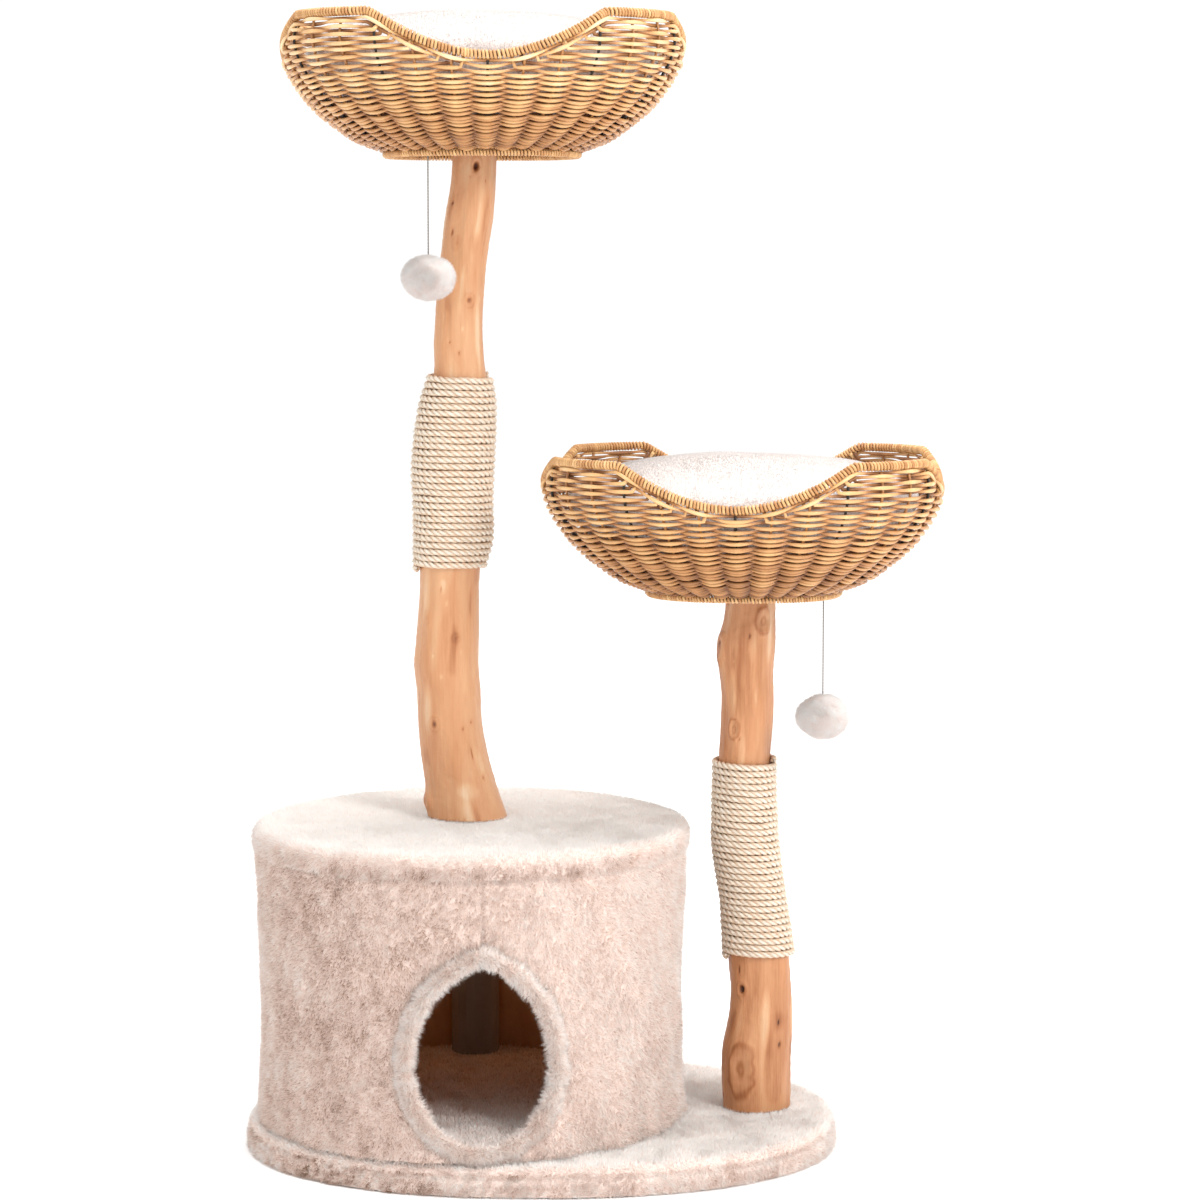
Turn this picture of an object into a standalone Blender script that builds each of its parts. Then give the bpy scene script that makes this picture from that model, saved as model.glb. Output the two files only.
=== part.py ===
"""Cat tree: plush condo on an oval base, two branch posts, two woven baskets and two hanging toys.

Metres, +Z up. The origin is the centre of the base's underside, +X runs from the tall post to the
short one, and -Y is the side with the doorway.
"""
import math

import bmesh
import bpy
from mathutils import Matrix, Vector

GAP = 0.0003            # clearance between pieces that touch
UP = Vector((0.0, 0.0, 1.0))
BITE = 0.001            # how far a cutter reaches past the face it cuts
SIDES = 36              # facets round the boards, covers and condo wall
ROUND_SIDES = 16        # facets round the tubes, plugs, washers and recesses
SHARP_ANGLE = math.radians(35)

# Base and condo
BASE_HALF = (0.326, 0.250)      # half length and half depth over the plush
BASE_POWER = 2.2                # exponent of the base's oval
BASE_BOARD = 0.025              # thickness of the base board
PLUSH = 0.008                   # thickness of the plush covers
COVER_LIP = (0.0015, 0.004)     # chamfer at a cover's lower edge: inward and upward
BASE_EDGE = 0.010               # rounding of each cover's upper edge
FLOOR_EDGE = 0.006
TOP_EDGE = 0.012
CONDO_X = -0.0775               # the condo stands left of the base's centre
CONDO_FLOOR_BOARD = 0.012
CONDO_TOP_BOARD = 0.015
CONDO_TOP_Z = 0.3605            # top of the plush on the condo
CONDO_RADIUS = 0.2400           # outer radius of the top cover
WALL_FABRIC = 0.005
WALL_SHARES = (0.0, 0.22, 0.5, 0.78, 1.0)               # heights where the sleeve's radius is given
WALL_RADII = (0.2370, 0.2335, 0.2315, 0.2330, 0.2365)   # it is drawn in at mid height
WALL_TUCK = 0.0016              # fabric turned up under the top cover's skirt
SKIRT = 0.026                   # height of the top cover's side

# Doorway in the condo wall: a pointed arch over half an ellipse
DOOR_TURN = math.radians(4.7)   # the doorway faces slightly to the right of -Y
DOOR_HALF_WIDTH = 0.073
DOOR_RISE = 0.108               # from the widest height to the point
DOOR_DROP = 0.085               # from the widest height to the sill
DOOR_WIDE_Z = 0.137
HEM_RADIUS = 0.0075
HEM_CLEARANCE = 0.0010
HEM_OUTWARD = 0.0015            # the hem lies this far outside the sleeve's smallest radius
DOOR_CUT = (0.19, 0.27)         # radii between which the doorway is cut
DOOR_POINTS = 36

# Tubes that hold up the condo's top board
TUBE_RADIUS = 0.0262
TUBE_WALL = 0.0027
TUBE_COVER = 0.0012
TUBE_CIRCLE = 0.195             # the tubes stand on this radius
TUBE_ANGLES = {"back": 91.0, "left": 211.0, "right": 329.0}
PLUG_HEIGHT = 0.020
PLUG_GRIP = 0.004               # plug left beyond the tip of its bolt

# Posts: (height, x, y, radius) along each branch
TALL_POST = [
    (0.3613, -0.0805, 0.0170, 0.0445), (0.3730, -0.0830, 0.0170, 0.0425), (0.4040, -0.0900, 0.0165, 0.0393),
    (0.4480, -0.0990, 0.0160, 0.0366), (0.4930, -0.1018, 0.0150, 0.0350), (0.5370, -0.1050, 0.0145, 0.0358),
    (0.5800, -0.1030, 0.0140, 0.0342), (0.6150, -0.1028, 0.0140, 0.0330), (0.6480, -0.1010, 0.0135, 0.0342),
    (0.6700, -0.0980, 0.0135, 0.0376), (0.7140, -0.0978, 0.0130, 0.0376), (0.7500, -0.0978, 0.0130, 0.0390),
    (0.7900, -0.0945, 0.0125, 0.0382), (0.8240, -0.0913, 0.0120, 0.0350), (0.8540, -0.0885, 0.0120, 0.0287),
    (0.8900, -0.0888, 0.0115, 0.0264), (0.9330, -0.0880, 0.0110, 0.0260), (0.9760, -0.0835, 0.0105, 0.0254),
    (1.0190, -0.0778, 0.0100, 0.0264), (1.0500, -0.0735, 0.0090, 0.0250), (1.0950, -0.0705, 0.0080, 0.0244)]
SHORT_POST = [
    (0.0338, 0.2392, 0.0125, 0.0382), (0.0600, 0.2388, 0.0125, 0.0392), (0.0880, 0.2382, 0.0120, 0.0400),
    (0.1150, 0.2410, 0.0115, 0.0380), (0.1560, 0.2445, 0.0110, 0.0342), (0.2010, 0.2428, 0.0100, 0.0338),
    (0.2260, 0.2406, 0.0095, 0.0332), (0.2600, 0.2375, 0.0090, 0.0308), (0.2920, 0.2328, 0.0080, 0.0310),
    (0.3360, 0.2272, 0.0070, 0.0312), (0.3800, 0.2262, 0.0060, 0.0298), (0.4200, 0.2255, 0.0050, 0.0288),
    (0.4490, 0.2272, 0.0045, 0.0286), (0.4930, 0.2288, 0.0040, 0.0291), (0.5370, 0.2268, 0.0030, 0.0302),
    (0.5600, 0.2290, 0.0025, 0.0296), (0.5820, 0.2302, 0.0020, 0.0276), (0.6205, 0.2307, 0.0010, 0.0270)]
POST_SIDES = 14
POST_STEP = 0.034               # height between sections
POST_SWELL = 0.03               # three-sided swell, as a share of the radius
POST_TWIST = 9.0                # turn of the swell, in radians per metre
TALL_ROPE = (0.6350, 0.8545)    # height of the sisal's first and last turn
SHORT_ROPE = (0.2035, 0.4310)
ROPE = 0.0072                   # diameter of the sisal rope

# Bolts: M8 with a flat hexagon head, and a washer under the head
BOLT_RADIUS = 0.004
HEAD_RADIUS = 0.0075
HEAD_HEIGHT = 0.0045
WASHER_RADIUS = 0.012
WASHER = 0.0016
BOLT_GRIP = 0.045               # length of thread inside a post
BOLT_ROOM = 0.002               # bore left beyond the tip of a bolt

# Baskets, in their own frame: z = 0 under the bottom hoop
BASKETS = {
    "upper": {"centre": (-0.0630, 0.0050, 1.0860), "turn": math.radians(3.7), "height": 0.144},
    "lower": {"centre": (0.2225, -0.0150, 0.6115), "turn": math.radians(-5.0), "height": 0.151}}
BASKET_SIDES = 40
HOOP_SIDES = 32
CORD_SIDES = 6                  # facets round the rims, hoops and the doorway's hem
BASKET_OUTLINE = [(0.0, 0.106), (0.09, 0.138), (0.20, 0.160), (0.35, 0.184), (0.50, 0.200),
                  (0.70, 0.2150), (0.85, 0.2185), (1.0, 0.2140)]     # (share of the height, half width)
BASKET_DEPTH = 0.965            # depth over width
FLOOR_POWER, RIM_POWER = 2.3, 3.0       # exponents of the oval at the floor and at the rim
BOWL_OUTSIDE = (0.0, 0.07, 0.18, 0.35, 0.55, 0.78, 1.0)     # heights of the bowl's rings
BOWL_INSIDE = (0.0, 0.12, 0.35, 0.7, 1.0)
BOWL_FLOOR_SHARE = 0.35         # below this the inside rises from the floor's thickness
BASKET_WALL = 0.008
BASKET_FLOOR_Z = 0.0093
FRONT_DIP = 0.045               # how far the rim drops at the front and back
SIDE_DIP = 0.040
FRONT_DIP_HALF = 0.126          # half width of the front and back dips
SIDE_DIP_HALF = 0.120
DIP_POWER = 1.15
RIM_RADIUS = 0.0050
RIM_CLEARANCE = 0.0014          # room under the rim where it slopes
HOOP_RADIUS = 0.0043
HOOP_HALF = (0.104, 0.098)
DISC_RADIUS = 0.075
DISC = 0.012
DISC_SIDES = 24
DISC_RECESS = 0.0075
CUSHION_HEIGHT = 0.128
CUSHION_POWER = 2.4
CUSHION_SIDES = 28
CUSHION_OUTLINE = [(0.0, 0.100), (0.05, 0.124), (0.22, 0.160), (0.45, 0.186), (0.62, 0.192),
                   (0.76, 0.184), (0.88, 0.155), (0.96, 0.110), (1.0, 0.050)]   # as for the basket

# Toys: where each string leaves the basket floor, and the height of the pompom's centre
TOYS = {"upper": ((-0.1185, -0.066), 0.9576), "lower": ((0.3070, -0.060), 0.4830)}
POMPOM = (0.0298, 0.0248)       # half width and half height
POMPOM_SIDES = 14
POMPOM_TILTS = [math.radians(d) for d in (8, 30, 55, 80, 105, 130, 152, 172)]
STRING_RADIUS = 0.0009
STRING_STEP = 0.005             # distance between the points of a string
TIE_RADIUS = 0.0032
TIE_SIDES = 8
TIE_TILTS = [math.radians(d) for d in (15, 50, 90, 130, 165)]

COLOURS = {                     # colour, roughness, metallic
    "plush": ((0.86, 0.76, 0.69), 0.95, 0.0),
    "board": ((0.62, 0.47, 0.31), 0.70, 0.0),
    "branch": ((0.74, 0.46, 0.27), 0.55, 0.0),
    "sisal": ((0.84, 0.76, 0.62), 0.90, 0.0),
    "wicker": ((0.80, 0.59, 0.33), 0.45, 0.0),
    "cushion": ((0.93, 0.88, 0.86), 0.95, 0.0),
    "paper_tube": ((0.45, 0.36, 0.27), 0.85, 0.0),
    "tube_fabric": ((0.52, 0.44, 0.38), 0.90, 0.0),
    "steel": ((0.62, 0.62, 0.64), 0.35, 1.0),
    "string": ((0.90, 0.89, 0.88), 0.80, 0.0)}


def material(kind, name):
    """A Principled material of one of the colours above, for one sub-part."""
    colour, roughness, metallic = COLOURS[kind]
    new = bpy.data.materials.new(name)
    new.use_nodes = True
    shader = new.node_tree.nodes["Principled BSDF"]
    shader.inputs["Base Color"].default_value = (*colour, 1.0)
    shader.inputs["Roughness"].default_value = roughness
    shader.inputs["Metallic"].default_value = metallic
    return new


def place(name, mesh_object, kind, origin=None):
    """Name an object, give it its material, and move its origin onto its joint axis."""
    mesh_object.name = name
    mesh_object.data.name = name
    mesh_object.data.materials.append(material(kind, name))
    if origin is not None:
        shift = Vector(origin)
        mesh_object.data.transform(Matrix.Translation(-shift))
        mesh_object.location = shift
    return mesh_object


def loft(name, rings, kind, loop=False, smooth=True, origin=None):
    """A closed body through rings of equal length: capped at both ends, or joined end to end."""
    shape = bmesh.new()
    rows = [[shape.verts.new(point) for point in ring] for ring in rings]
    pairs = list(zip(rows, rows[1:] + rows[:1])) if loop else list(zip(rows, rows[1:]))
    for low, high in pairs:
        for i in range(len(low)):
            j = (i + 1) % len(low)
            shape.faces.new((low[i], low[j], high[j], high[i]))
    if not loop:
        shape.faces.new(rows[0][::-1])
        shape.faces.new(rows[-1])
    bmesh.ops.recalc_face_normals(shape, faces=shape.faces)
    mesh = bpy.data.meshes.new(name)
    shape.to_mesh(mesh)
    shape.free()
    if smooth:
        mesh.shade_smooth()
        mesh.set_sharp_from_angle(angle=SHARP_ANGLE)
    body = bpy.data.objects.new(name, mesh)
    bpy.context.collection.objects.link(body)
    return place(name, body, kind, origin)


def oval(half_x, half_y, z, power=2.0, centre=(0.0, 0.0), sides=SIDES, turn=0.0):
    """A level ring on a superellipse, with its points at even angles."""
    points = []
    for i in range(sides):
        angle = math.tau * i / sides
        c, s = math.cos(angle), math.sin(angle)
        reach = (abs(c / half_x) ** power + abs(s / half_y) ** power) ** (-1 / power)
        x, y = reach * c, reach * s
        points.append((centre[0] + x * math.cos(turn) - y * math.sin(turn),
                       centre[1] + x * math.sin(turn) + y * math.cos(turn), z))
    return points


def circle(radius, z, centre=(0.0, 0.0), sides=SIDES, turn=0.0):
    return oval(radius, radius, z, 2.0, centre, sides, turn)


def drill(target, centre, radius, low, high, sides=12):
    """Cut a round hole along Z out of target, from BITE below low to BITE above high."""
    rings = [circle(radius, z, centre, sides) for z in (low - BITE, high + BITE)]
    subtract(target, loft(f"cut_{target.name}", rings, "steel", smooth=False))


def subtract(target, cutter):
    """Cut a hidden object's shape out of target."""
    cutter.display_type = "WIRE"
    cutter.hide_render = True
    cut = target.modifiers.new("cut", "BOOLEAN")
    cut.operation = "DIFFERENCE"
    cut.solver = "EXACT"
    cut.object = cutter


def bolt(name, centre, head_z, tip_z):
    """A bolt along Z: the head lies outside head_z, and the shank runs to tip_z."""
    outward = 1.0 if head_z > tip_z else -1.0
    top = head_z + outward * HEAD_HEIGHT
    rings = [circle(HEAD_RADIUS, top, centre, 6), circle(HEAD_RADIUS, head_z, centre, 6),
             circle(BOLT_RADIUS, head_z, centre, 6), circle(BOLT_RADIUS, tip_z, centre, 6)]
    loft(name, rings, "steel", smooth=False)


def washer(name, centre, low):
    """A flat washer round a bolt, with its underside at low."""
    sleeve(name, centre, BOLT_RADIUS + 2 * GAP, WASHER_RADIUS, low, low + WASHER, "steel", smooth=False)


def cap_cover(name, half_x, half_y, bottom, top, power, centre, edge):
    """A plush cover over a board: a skirt and a top with a rounded edge, open underneath."""
    def ring(inset, z):
        return oval(half_x - inset, half_y - inset, z, power, centre)
    lip_in, lip_up = COVER_LIP
    rings = [ring(PLUSH, top - PLUSH), ring(PLUSH, bottom), ring(lip_in, bottom), ring(0.0, bottom + lip_up)]
    for step in range(4):
        angle = math.radians(90 * step / 3)
        rings.append(ring(edge * (1 - math.cos(angle)), top - edge * (1 - math.sin(angle))))
    return loft(name, rings, "plush")


def tube_places():
    """Name and centre of each condo tube."""
    for side, degrees in TUBE_ANGLES.items():
        angle = math.radians(degrees)
        yield side, (CONDO_X + TUBE_CIRCLE * math.cos(angle), TUBE_CIRCLE * math.sin(angle))


def build_base(short_foot):
    """Base board and its plush cover, with holes for the bolts that come up from below."""
    top = BASE_BOARD + PLUSH
    inset = PLUSH + GAP
    board = loft("base_board", [oval(BASE_HALF[0] - inset, BASE_HALF[1] - inset, z, BASE_POWER)
                                for z in (0.0, BASE_BOARD)], "board", smooth=False)
    cover = cap_cover("base_cover", *BASE_HALF, 0.0, top + GAP, BASE_POWER, (0.0, 0.0), BASE_EDGE)
    recess = HEAD_HEIGHT + WASHER + BITE
    for centre in [short_foot] + [spot for _, spot in tube_places()]:
        drill(board, centre, WASHER_RADIUS + BITE, 0.0, recess - BITE, ROUND_SIDES)
        drill(board, centre, BOLT_RADIUS + 2 * GAP, 2 * BITE, BASE_BOARD)
        drill(cover, centre, BOLT_RADIUS + 2 * GAP, BASE_BOARD - BITE, top + BITE)
    return top + GAP, recess


def build_condo(base_top, recess):
    """Floor, wall, doorway hem, top and the three tubes between them."""
    centre = (CONDO_X, 0.0)
    floor_low = base_top + GAP
    floor_high = floor_low + CONDO_FLOOR_BOARD
    floor_top = floor_high + PLUSH + GAP
    radius = min(WALL_RADII) - WALL_FABRIC - BITE
    floor = disc("condo_floor_board", radius - PLUSH - GAP, centre, floor_low, floor_high)
    floor_cover = cap_cover("condo_floor_cover", radius, radius, floor_low, floor_top, 2.0, centre,
                            FLOOR_EDGE)
    board_high = CONDO_TOP_Z - PLUSH - GAP
    board_low = board_high - CONDO_TOP_BOARD
    board_radius = CONDO_RADIUS - PLUSH - WALL_TUCK - 2 * GAP
    top_board = disc("condo_top_board", board_radius, centre, board_low, board_high)
    skirt_low = CONDO_TOP_Z - SKIRT
    top_cover = cap_cover("condo_top_cover", CONDO_RADIUS, CONDO_RADIUS, skirt_low, CONDO_TOP_Z, 2.0, centre,
                          TOP_EDGE)
    build_wall(centre, floor_low, skirt_low - GAP, board_radius, board_high)
    hole = BOLT_RADIUS + 2 * GAP
    for side, spot in tube_places():
        build_tube(side, spot, floor_top + GAP, board_low - GAP)
        drill(floor, spot, hole, floor_low, floor_high)
        drill(floor_cover, spot, hole, floor_high, floor_top)
        drill(top_board, spot, HEAD_RADIUS + BITE, board_high - HEAD_HEIGHT + BITE / 2, board_high)
        drill(top_board, spot, hole, board_low, board_high - 2 * BITE)
        washer(f"tube_washer_{side}", spot, recess - WASHER - GAP)
        bolt(f"tube_foot_bolt_{side}", spot, recess - WASHER - 2 * GAP, floor_top + PLUG_HEIGHT - PLUG_GRIP)
        bolt(f"tube_head_bolt_{side}", spot, board_high - HEAD_HEIGHT - GAP / 2,
             board_low - PLUG_HEIGHT + PLUG_GRIP)
    for body in (top_board, top_cover):
        drill(body, TALL_POST[0][1:3], hole, board_low, CONDO_TOP_Z)
    return board_low


def disc(name, radius, centre, low, high, sides=SIDES):
    """A round board between two heights."""
    rings = [circle(radius, z, centre, sides) for z in (low, high)]
    return loft(name, rings, "board", smooth=False)


def build_wall(centre, low, high, board_radius, tuck_top):
    """The fabric sleeve: hung from the top board, drawn in at mid height, with the doorway cut out."""
    levels = [low + (high - low) * share for share in WALL_SHARES]
    outer = [circle(radius, z, centre) for radius, z in zip(WALL_RADII, levels)]
    tuck_in = board_radius + GAP
    tuck_out = tuck_in + WALL_TUCK
    upper = [circle(tuck_out, high, centre), circle(tuck_out, tuck_top - BITE, centre),
             circle(tuck_in, tuck_top - BITE, centre)]
    inner = [circle(radius - WALL_FABRIC, z, centre) for radius, z in zip(WALL_RADII, levels)]
    inner[-1] = circle(tuck_in, high, centre)
    wall = loft("condo_wall", outer + upper + inner[::-1], "plush", loop=True)
    opening = door_outline(2 * HEM_RADIUS + HEM_CLEARANCE, DOOR_POINTS)
    rings = [door_ring(opening, centre, radius) for radius in DOOR_CUT]
    subtract(wall, loft("cut_doorway", rings, "steel", smooth=False))
    path = door_ring(door_outline(HEM_RADIUS, DOOR_POINTS), centre, min(WALL_RADII) + HEM_OUTWARD)
    tube_loop("doorway_hem", path, HEM_RADIUS, "plush")


def door_outline(offset, count):
    """Points (across, height) round the doorway, moved outward by offset."""
    half = DOOR_HALF_WIDTH
    arc = (half ** 2 + DOOR_RISE ** 2) / (2 * half)      # radius of each side of the pointed arch
    reach = arc + offset
    shift = arc - half
    point = math.acos(shift / reach)                     # angle at which the two arcs meet
    quarter = count // 4
    turns = [point * i / quarter for i in range(quarter)]
    right = [(reach * math.cos(a) - shift, DOOR_WIDE_Z + reach * math.sin(a)) for a in turns]
    tip = [(0.0, DOOR_WIDE_Z + reach * math.sin(point))]
    left = [(-x, z) for x, z in right[::-1]]
    below = count - len(right) - len(tip) - len(left)
    low = []
    for i in range(1, below + 1):
        angle = math.pi + math.pi * i / (below + 1)
        drop = (DOOR_DROP + offset) * math.sin(angle)
        low.append(((half + offset) * math.cos(angle), DOOR_WIDE_Z + drop))
    return right + tip + left + low


def door_ring(outline, centre, radius):
    """Wrap the outline round the condo wall at a radius."""
    points = []
    for across, z in outline:
        angle = -math.pi / 2 + DOOR_TURN + across / min(WALL_RADII)
        points.append((centre[0] + radius * math.cos(angle), centre[1] + radius * math.sin(angle), z))
    return points


def tube_loop(name, path, radius, kind, up=None):
    """A closed tube of round section along a closed path of points."""
    points = [Vector(p) for p in path]
    rings = []
    middle = sum(points, Vector()) / len(points)
    for i, point in enumerate(points):
        ahead = (points[(i + 1) % len(points)] - points[i - 1]).normalized()
        side = (up or (point - middle)).cross(ahead).normalized()
        across = ahead.cross(side).normalized()
        rings.append([point + radius * (math.cos(a) * across + math.sin(a) * side)
                      for a in (math.tau * k / CORD_SIDES for k in range(CORD_SIDES))])
    return loft(name, rings, kind, loop=True)


def build_tube(side, spot, low, high):
    """Paper tube with a fabric skin and a wooden plug in each end."""
    outer, inner = TUBE_RADIUS, TUBE_RADIUS - TUBE_WALL
    sleeve(f"condo_tube_{side}", spot, inner, outer, low, high, "paper_tube")
    sleeve(f"tube_cover_{side}", spot, outer + GAP, outer + GAP + TUBE_COVER, low, high, "tube_fabric")
    for end, bottom in (("foot", low), ("head", high - PLUG_HEIGHT)):
        top = bottom + PLUG_HEIGHT
        plug = disc(f"tube_plug_{side}_{end}", inner - GAP, spot, bottom, top, ROUND_SIDES)
        drill(plug, spot, BOLT_RADIUS + GAP, bottom, top, 8)


def sleeve(name, centre, inner, outer, low, high, kind, smooth=True):
    """A hollow cylinder, open at both ends."""
    rings = [circle(radius, z, centre, ROUND_SIDES)
             for radius, z in ((inner, low), (outer, low), (outer, high), (inner, high))]
    loft(name, rings, kind, loop=True, smooth=smooth)


def along(table, height):
    """x, y and radius of a post at a height, on a smooth curve through its table."""
    last = len(table) - 1
    k = max(i for i in range(last) if table[i][0] <= height or i == 0)
    p0, p1, p2, p3 = table[max(k - 1, 0)], table[k], table[k + 1], table[min(k + 2, last)]
    t = (height - p1[0]) / (p2[0] - p1[0])
    values = []
    for axis in (1, 2, 3):
        m1 = (p2[axis] - p0[axis]) / (p2[0] - p0[0]) * (p2[0] - p1[0])
        m2 = (p3[axis] - p1[axis]) / (p3[0] - p1[0]) * (p2[0] - p1[0])
        values.append((2 * t ** 3 - 3 * t ** 2 + 1) * p1[axis] + (t ** 3 - 2 * t ** 2 + t) * m1
                      + (3 * t ** 2 - 2 * t ** 3) * p2[axis] + (t ** 3 - t ** 2) * m2)
    return values


def post_ring(table, height, grow=0.0):
    """One section of a branch: nearly round, with a slow three-sided swell that turns with height."""
    x, y, radius = along(table, height)
    points = []
    for i in range(POST_SIDES):
        angle = math.tau * i / POST_SIDES
        swell = 1 + POST_SWELL * math.cos(3 * angle + POST_TWIST * height)
        reach = radius * swell + grow
        points.append((x + reach * math.cos(angle), y + reach * math.sin(angle), height))
    return points


def heights(low, high, step):
    """Heights from low to high, about step apart."""
    count = max(2, round((high - low) / step))
    return [low + (high - low) * i / count for i in range(count + 1)]


def build_post(name, table, rope, washer_z):
    """A branch post, its sisal wrap, and the bolt and washer that hold its foot."""
    low, high = table[0][0], table[-1][0]
    wrapped = heights(*rope, POST_STEP)
    levels = heights(low, rope[0], POST_STEP)[:-1] + wrapped + heights(rope[1], high, POST_STEP)[1:]
    post = loft(name, [post_ring(table, z) for z in levels], "branch")
    foot, head = table[0][1:3], table[-1][1:3]
    bore = BOLT_GRIP + BOLT_ROOM - BITE
    drill(post, foot, BOLT_RADIUS + GAP, low, low + bore)
    drill(post, head, BOLT_RADIUS + GAP, high - bore, high)
    outer = [post_ring(table, z, ROPE + GAP) for z in wrapped]
    inner = [post_ring(table, z, 2 * GAP) for z in wrapped]
    loft(f"{name}_rope", outer + inner[::-1], "sisal", loop=True)
    washer(f"{name}_washer", foot, washer_z - WASHER)
    bolt(f"{name}_bolt", foot, washer_z - WASHER - GAP, low + BOLT_GRIP)


def rim_drop(x, y):
    """How far the basket's edge lies below its four raised corners."""
    front = max(0.0, 1 - (x / FRONT_DIP_HALF) ** 2)
    side = max(0.0, 1 - (y / SIDE_DIP_HALF) ** 2)
    return max(FRONT_DIP * front ** DIP_POWER, SIDE_DIP * side ** DIP_POWER)


def basket_half(share):
    """Half width of the basket at a share of its height."""
    for (s0, w0), (s1, w1) in zip(BASKET_OUTLINE, BASKET_OUTLINE[1:]):
        if share <= s1:
            return w0 + (w1 - w0) * (share - s0) / (s1 - s0)
    return BASKET_OUTLINE[-1][1]


def basket_ring(data, share, inset=0.0, lift=0.0):
    """A ring of the basket wall at a share of the way up, in world coordinates."""
    x0, y0, z0 = data["centre"]
    span = data["height"] - RIM_RADIUS - BASKET_FLOOR_Z
    power = FLOOR_POWER + (RIM_POWER - FLOOR_POWER) * share
    plan = BASKET_OUTLINE[-1][1]
    ring = []
    for x, y, _ in oval(1.0, 1.0, 0.0, power, sides=BASKET_SIDES):
        rise = (span - rim_drop(x * plan, y * plan * BASKET_DEPTH)) * share
        half = basket_half(rise / span) - inset
        across, deep = x * half, y * ((half + inset) * BASKET_DEPTH - inset)
        c, s = math.cos(data["turn"]), math.sin(data["turn"])
        z = z0 + BASKET_FLOOR_Z + rise + lift
        ring.append((x0 + across * c - deep * s, y0 + across * s + deep * c, z))
    return ring


def build_basket(level, data, post_top):
    """Woven bowl, wrapped rim and bottom hoop, plywood disc with its bolt, and the cushion."""
    x0, y0, z0 = data["centre"]
    outer = [basket_ring(data, share) for share in BOWL_OUTSIDE]
    inner = [basket_ring(data, share, BASKET_WALL, BASKET_WALL * max(0.0, 1 - share / BOWL_FLOOR_SHARE))
             for share in BOWL_INSIDE]
    bowl = loft(f"{level}_basket_weave", outer + inner[::-1], "wicker")
    rim_path = basket_ring(data, 1.0, BASKET_WALL / 2, RIM_RADIUS + RIM_CLEARANCE)
    tube_loop(f"{level}_basket_rim", rim_path, RIM_RADIUS, "wicker", UP)
    hoop = oval(*HOOP_HALF, z0 + HOOP_RADIUS, FLOOR_POWER, (x0, y0), HOOP_SIDES, data["turn"])
    tube_loop(f"{level}_basket_hoop", hoop, HOOP_RADIUS, "wicker", UP)
    disc_low = z0 + BASKET_FLOOR_Z + BASKET_WALL + GAP
    disc_high = disc_low + DISC
    plate = disc(f"{level}_basket_disc", DISC_RADIUS, (x0, y0), disc_low, disc_high, DISC_SIDES)
    hole = BOLT_RADIUS + 2 * GAP
    drill(plate, post_top, WASHER_RADIUS + BITE, disc_high - DISC_RECESS + BITE, disc_high, ROUND_SIDES)
    drill(plate, post_top, hole, disc_low, disc_high - 2 * BITE)
    drill(bowl, post_top, hole, z0 + BASKET_FLOOR_Z, disc_low - BITE / 2)
    seat = disc_high - DISC_RECESS + GAP
    washer(f"{level}_basket_washer", post_top, seat)
    bolt(f"{level}_basket_bolt", post_top, seat + WASHER + GAP, z0 + BASKET_FLOOR_Z - BOLT_GRIP)
    build_cushion(level, data, disc_high + GAP)


def build_cushion(level, data, low):
    """A loose crowned cushion that fills the bowl; it lifts straight up and out."""
    x0, y0, _ = data["centre"]
    rings = [oval(half, half * BASKET_DEPTH, low + share * CUSHION_HEIGHT, CUSHION_POWER, (x0, y0),
                  CUSHION_SIDES, data["turn"]) for share, half in CUSHION_OUTLINE]
    loft(f"{level}_cushion", rings, "cushion", origin=(x0, y0, low))


def build_toy(level, spot, pompom_z, floor_z):
    """Tie, string and pompom under a basket; their origins are where the tie turns."""
    pivot = (*spot, floor_z - GAP - TIE_RADIUS)
    rings = [circle(TIE_RADIUS * math.sin(a), pivot[2] + TIE_RADIUS * math.cos(a), spot, TIE_SIDES)
             for a in TIE_TILTS]
    loft(f"{level}_toy_tie", rings, "string", origin=pivot)
    half_width, half_height = POMPOM
    rings = [circle(half_width * math.sin(a), pompom_z + half_height * math.cos(a), spot, POMPOM_SIDES)
             for a in POMPOM_TILTS]
    loft(f"{level}_toy_pompom", rings, "cushion", origin=pivot)
    top = pivot[2] - TIE_RADIUS * math.cos(TIE_TILTS[0]) - GAP
    build_string(level, pivot, pompom_z + half_height * math.cos(POMPOM_TILTS[0]) + GAP, top)


def build_string(level, pivot, bottom, top):
    """A straight hanging string, as a curve with a round section."""
    curve = bpy.data.curves.new(f"{level}_toy_string", "CURVE")
    curve.dimensions = "3D"
    curve.bevel_depth = STRING_RADIUS
    curve.bevel_resolution = 2
    curve.use_fill_caps = True
    spline = curve.splines.new("POLY")
    levels = heights(bottom, top, STRING_STEP)
    spline.points.add(len(levels) - 1)
    for point, z in zip(spline.points, levels[::-1]):
        point.co = (0.0, 0.0, z - pivot[2], 1.0)
    string = bpy.data.objects.new(f"{level}_toy_string", curve)
    bpy.context.collection.objects.link(string)
    string.location = pivot
    curve.materials.append(material("string", f"{level}_toy_string"))


def main():
    """Empty the scene and build every sub-part."""
    for existing in list(bpy.data.objects):
        bpy.data.objects.remove(existing, do_unlink=True)
    base_top, recess = build_base(SHORT_POST[0][1:3])
    ceiling = build_condo(base_top, recess)
    build_post("tall_post", TALL_POST, TALL_ROPE, ceiling - GAP)
    build_post("short_post", SHORT_POST, SHORT_ROPE, recess - GAP)
    for level, table in (("upper", TALL_POST), ("lower", SHORT_POST)):
        data = BASKETS[level]
        build_basket(level, data, table[-1][1:3])
        spot, pompom_z = TOYS[level]
        build_toy(level, spot, pompom_z, data["centre"][2] + BASKET_FLOOR_Z)


main()
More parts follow.
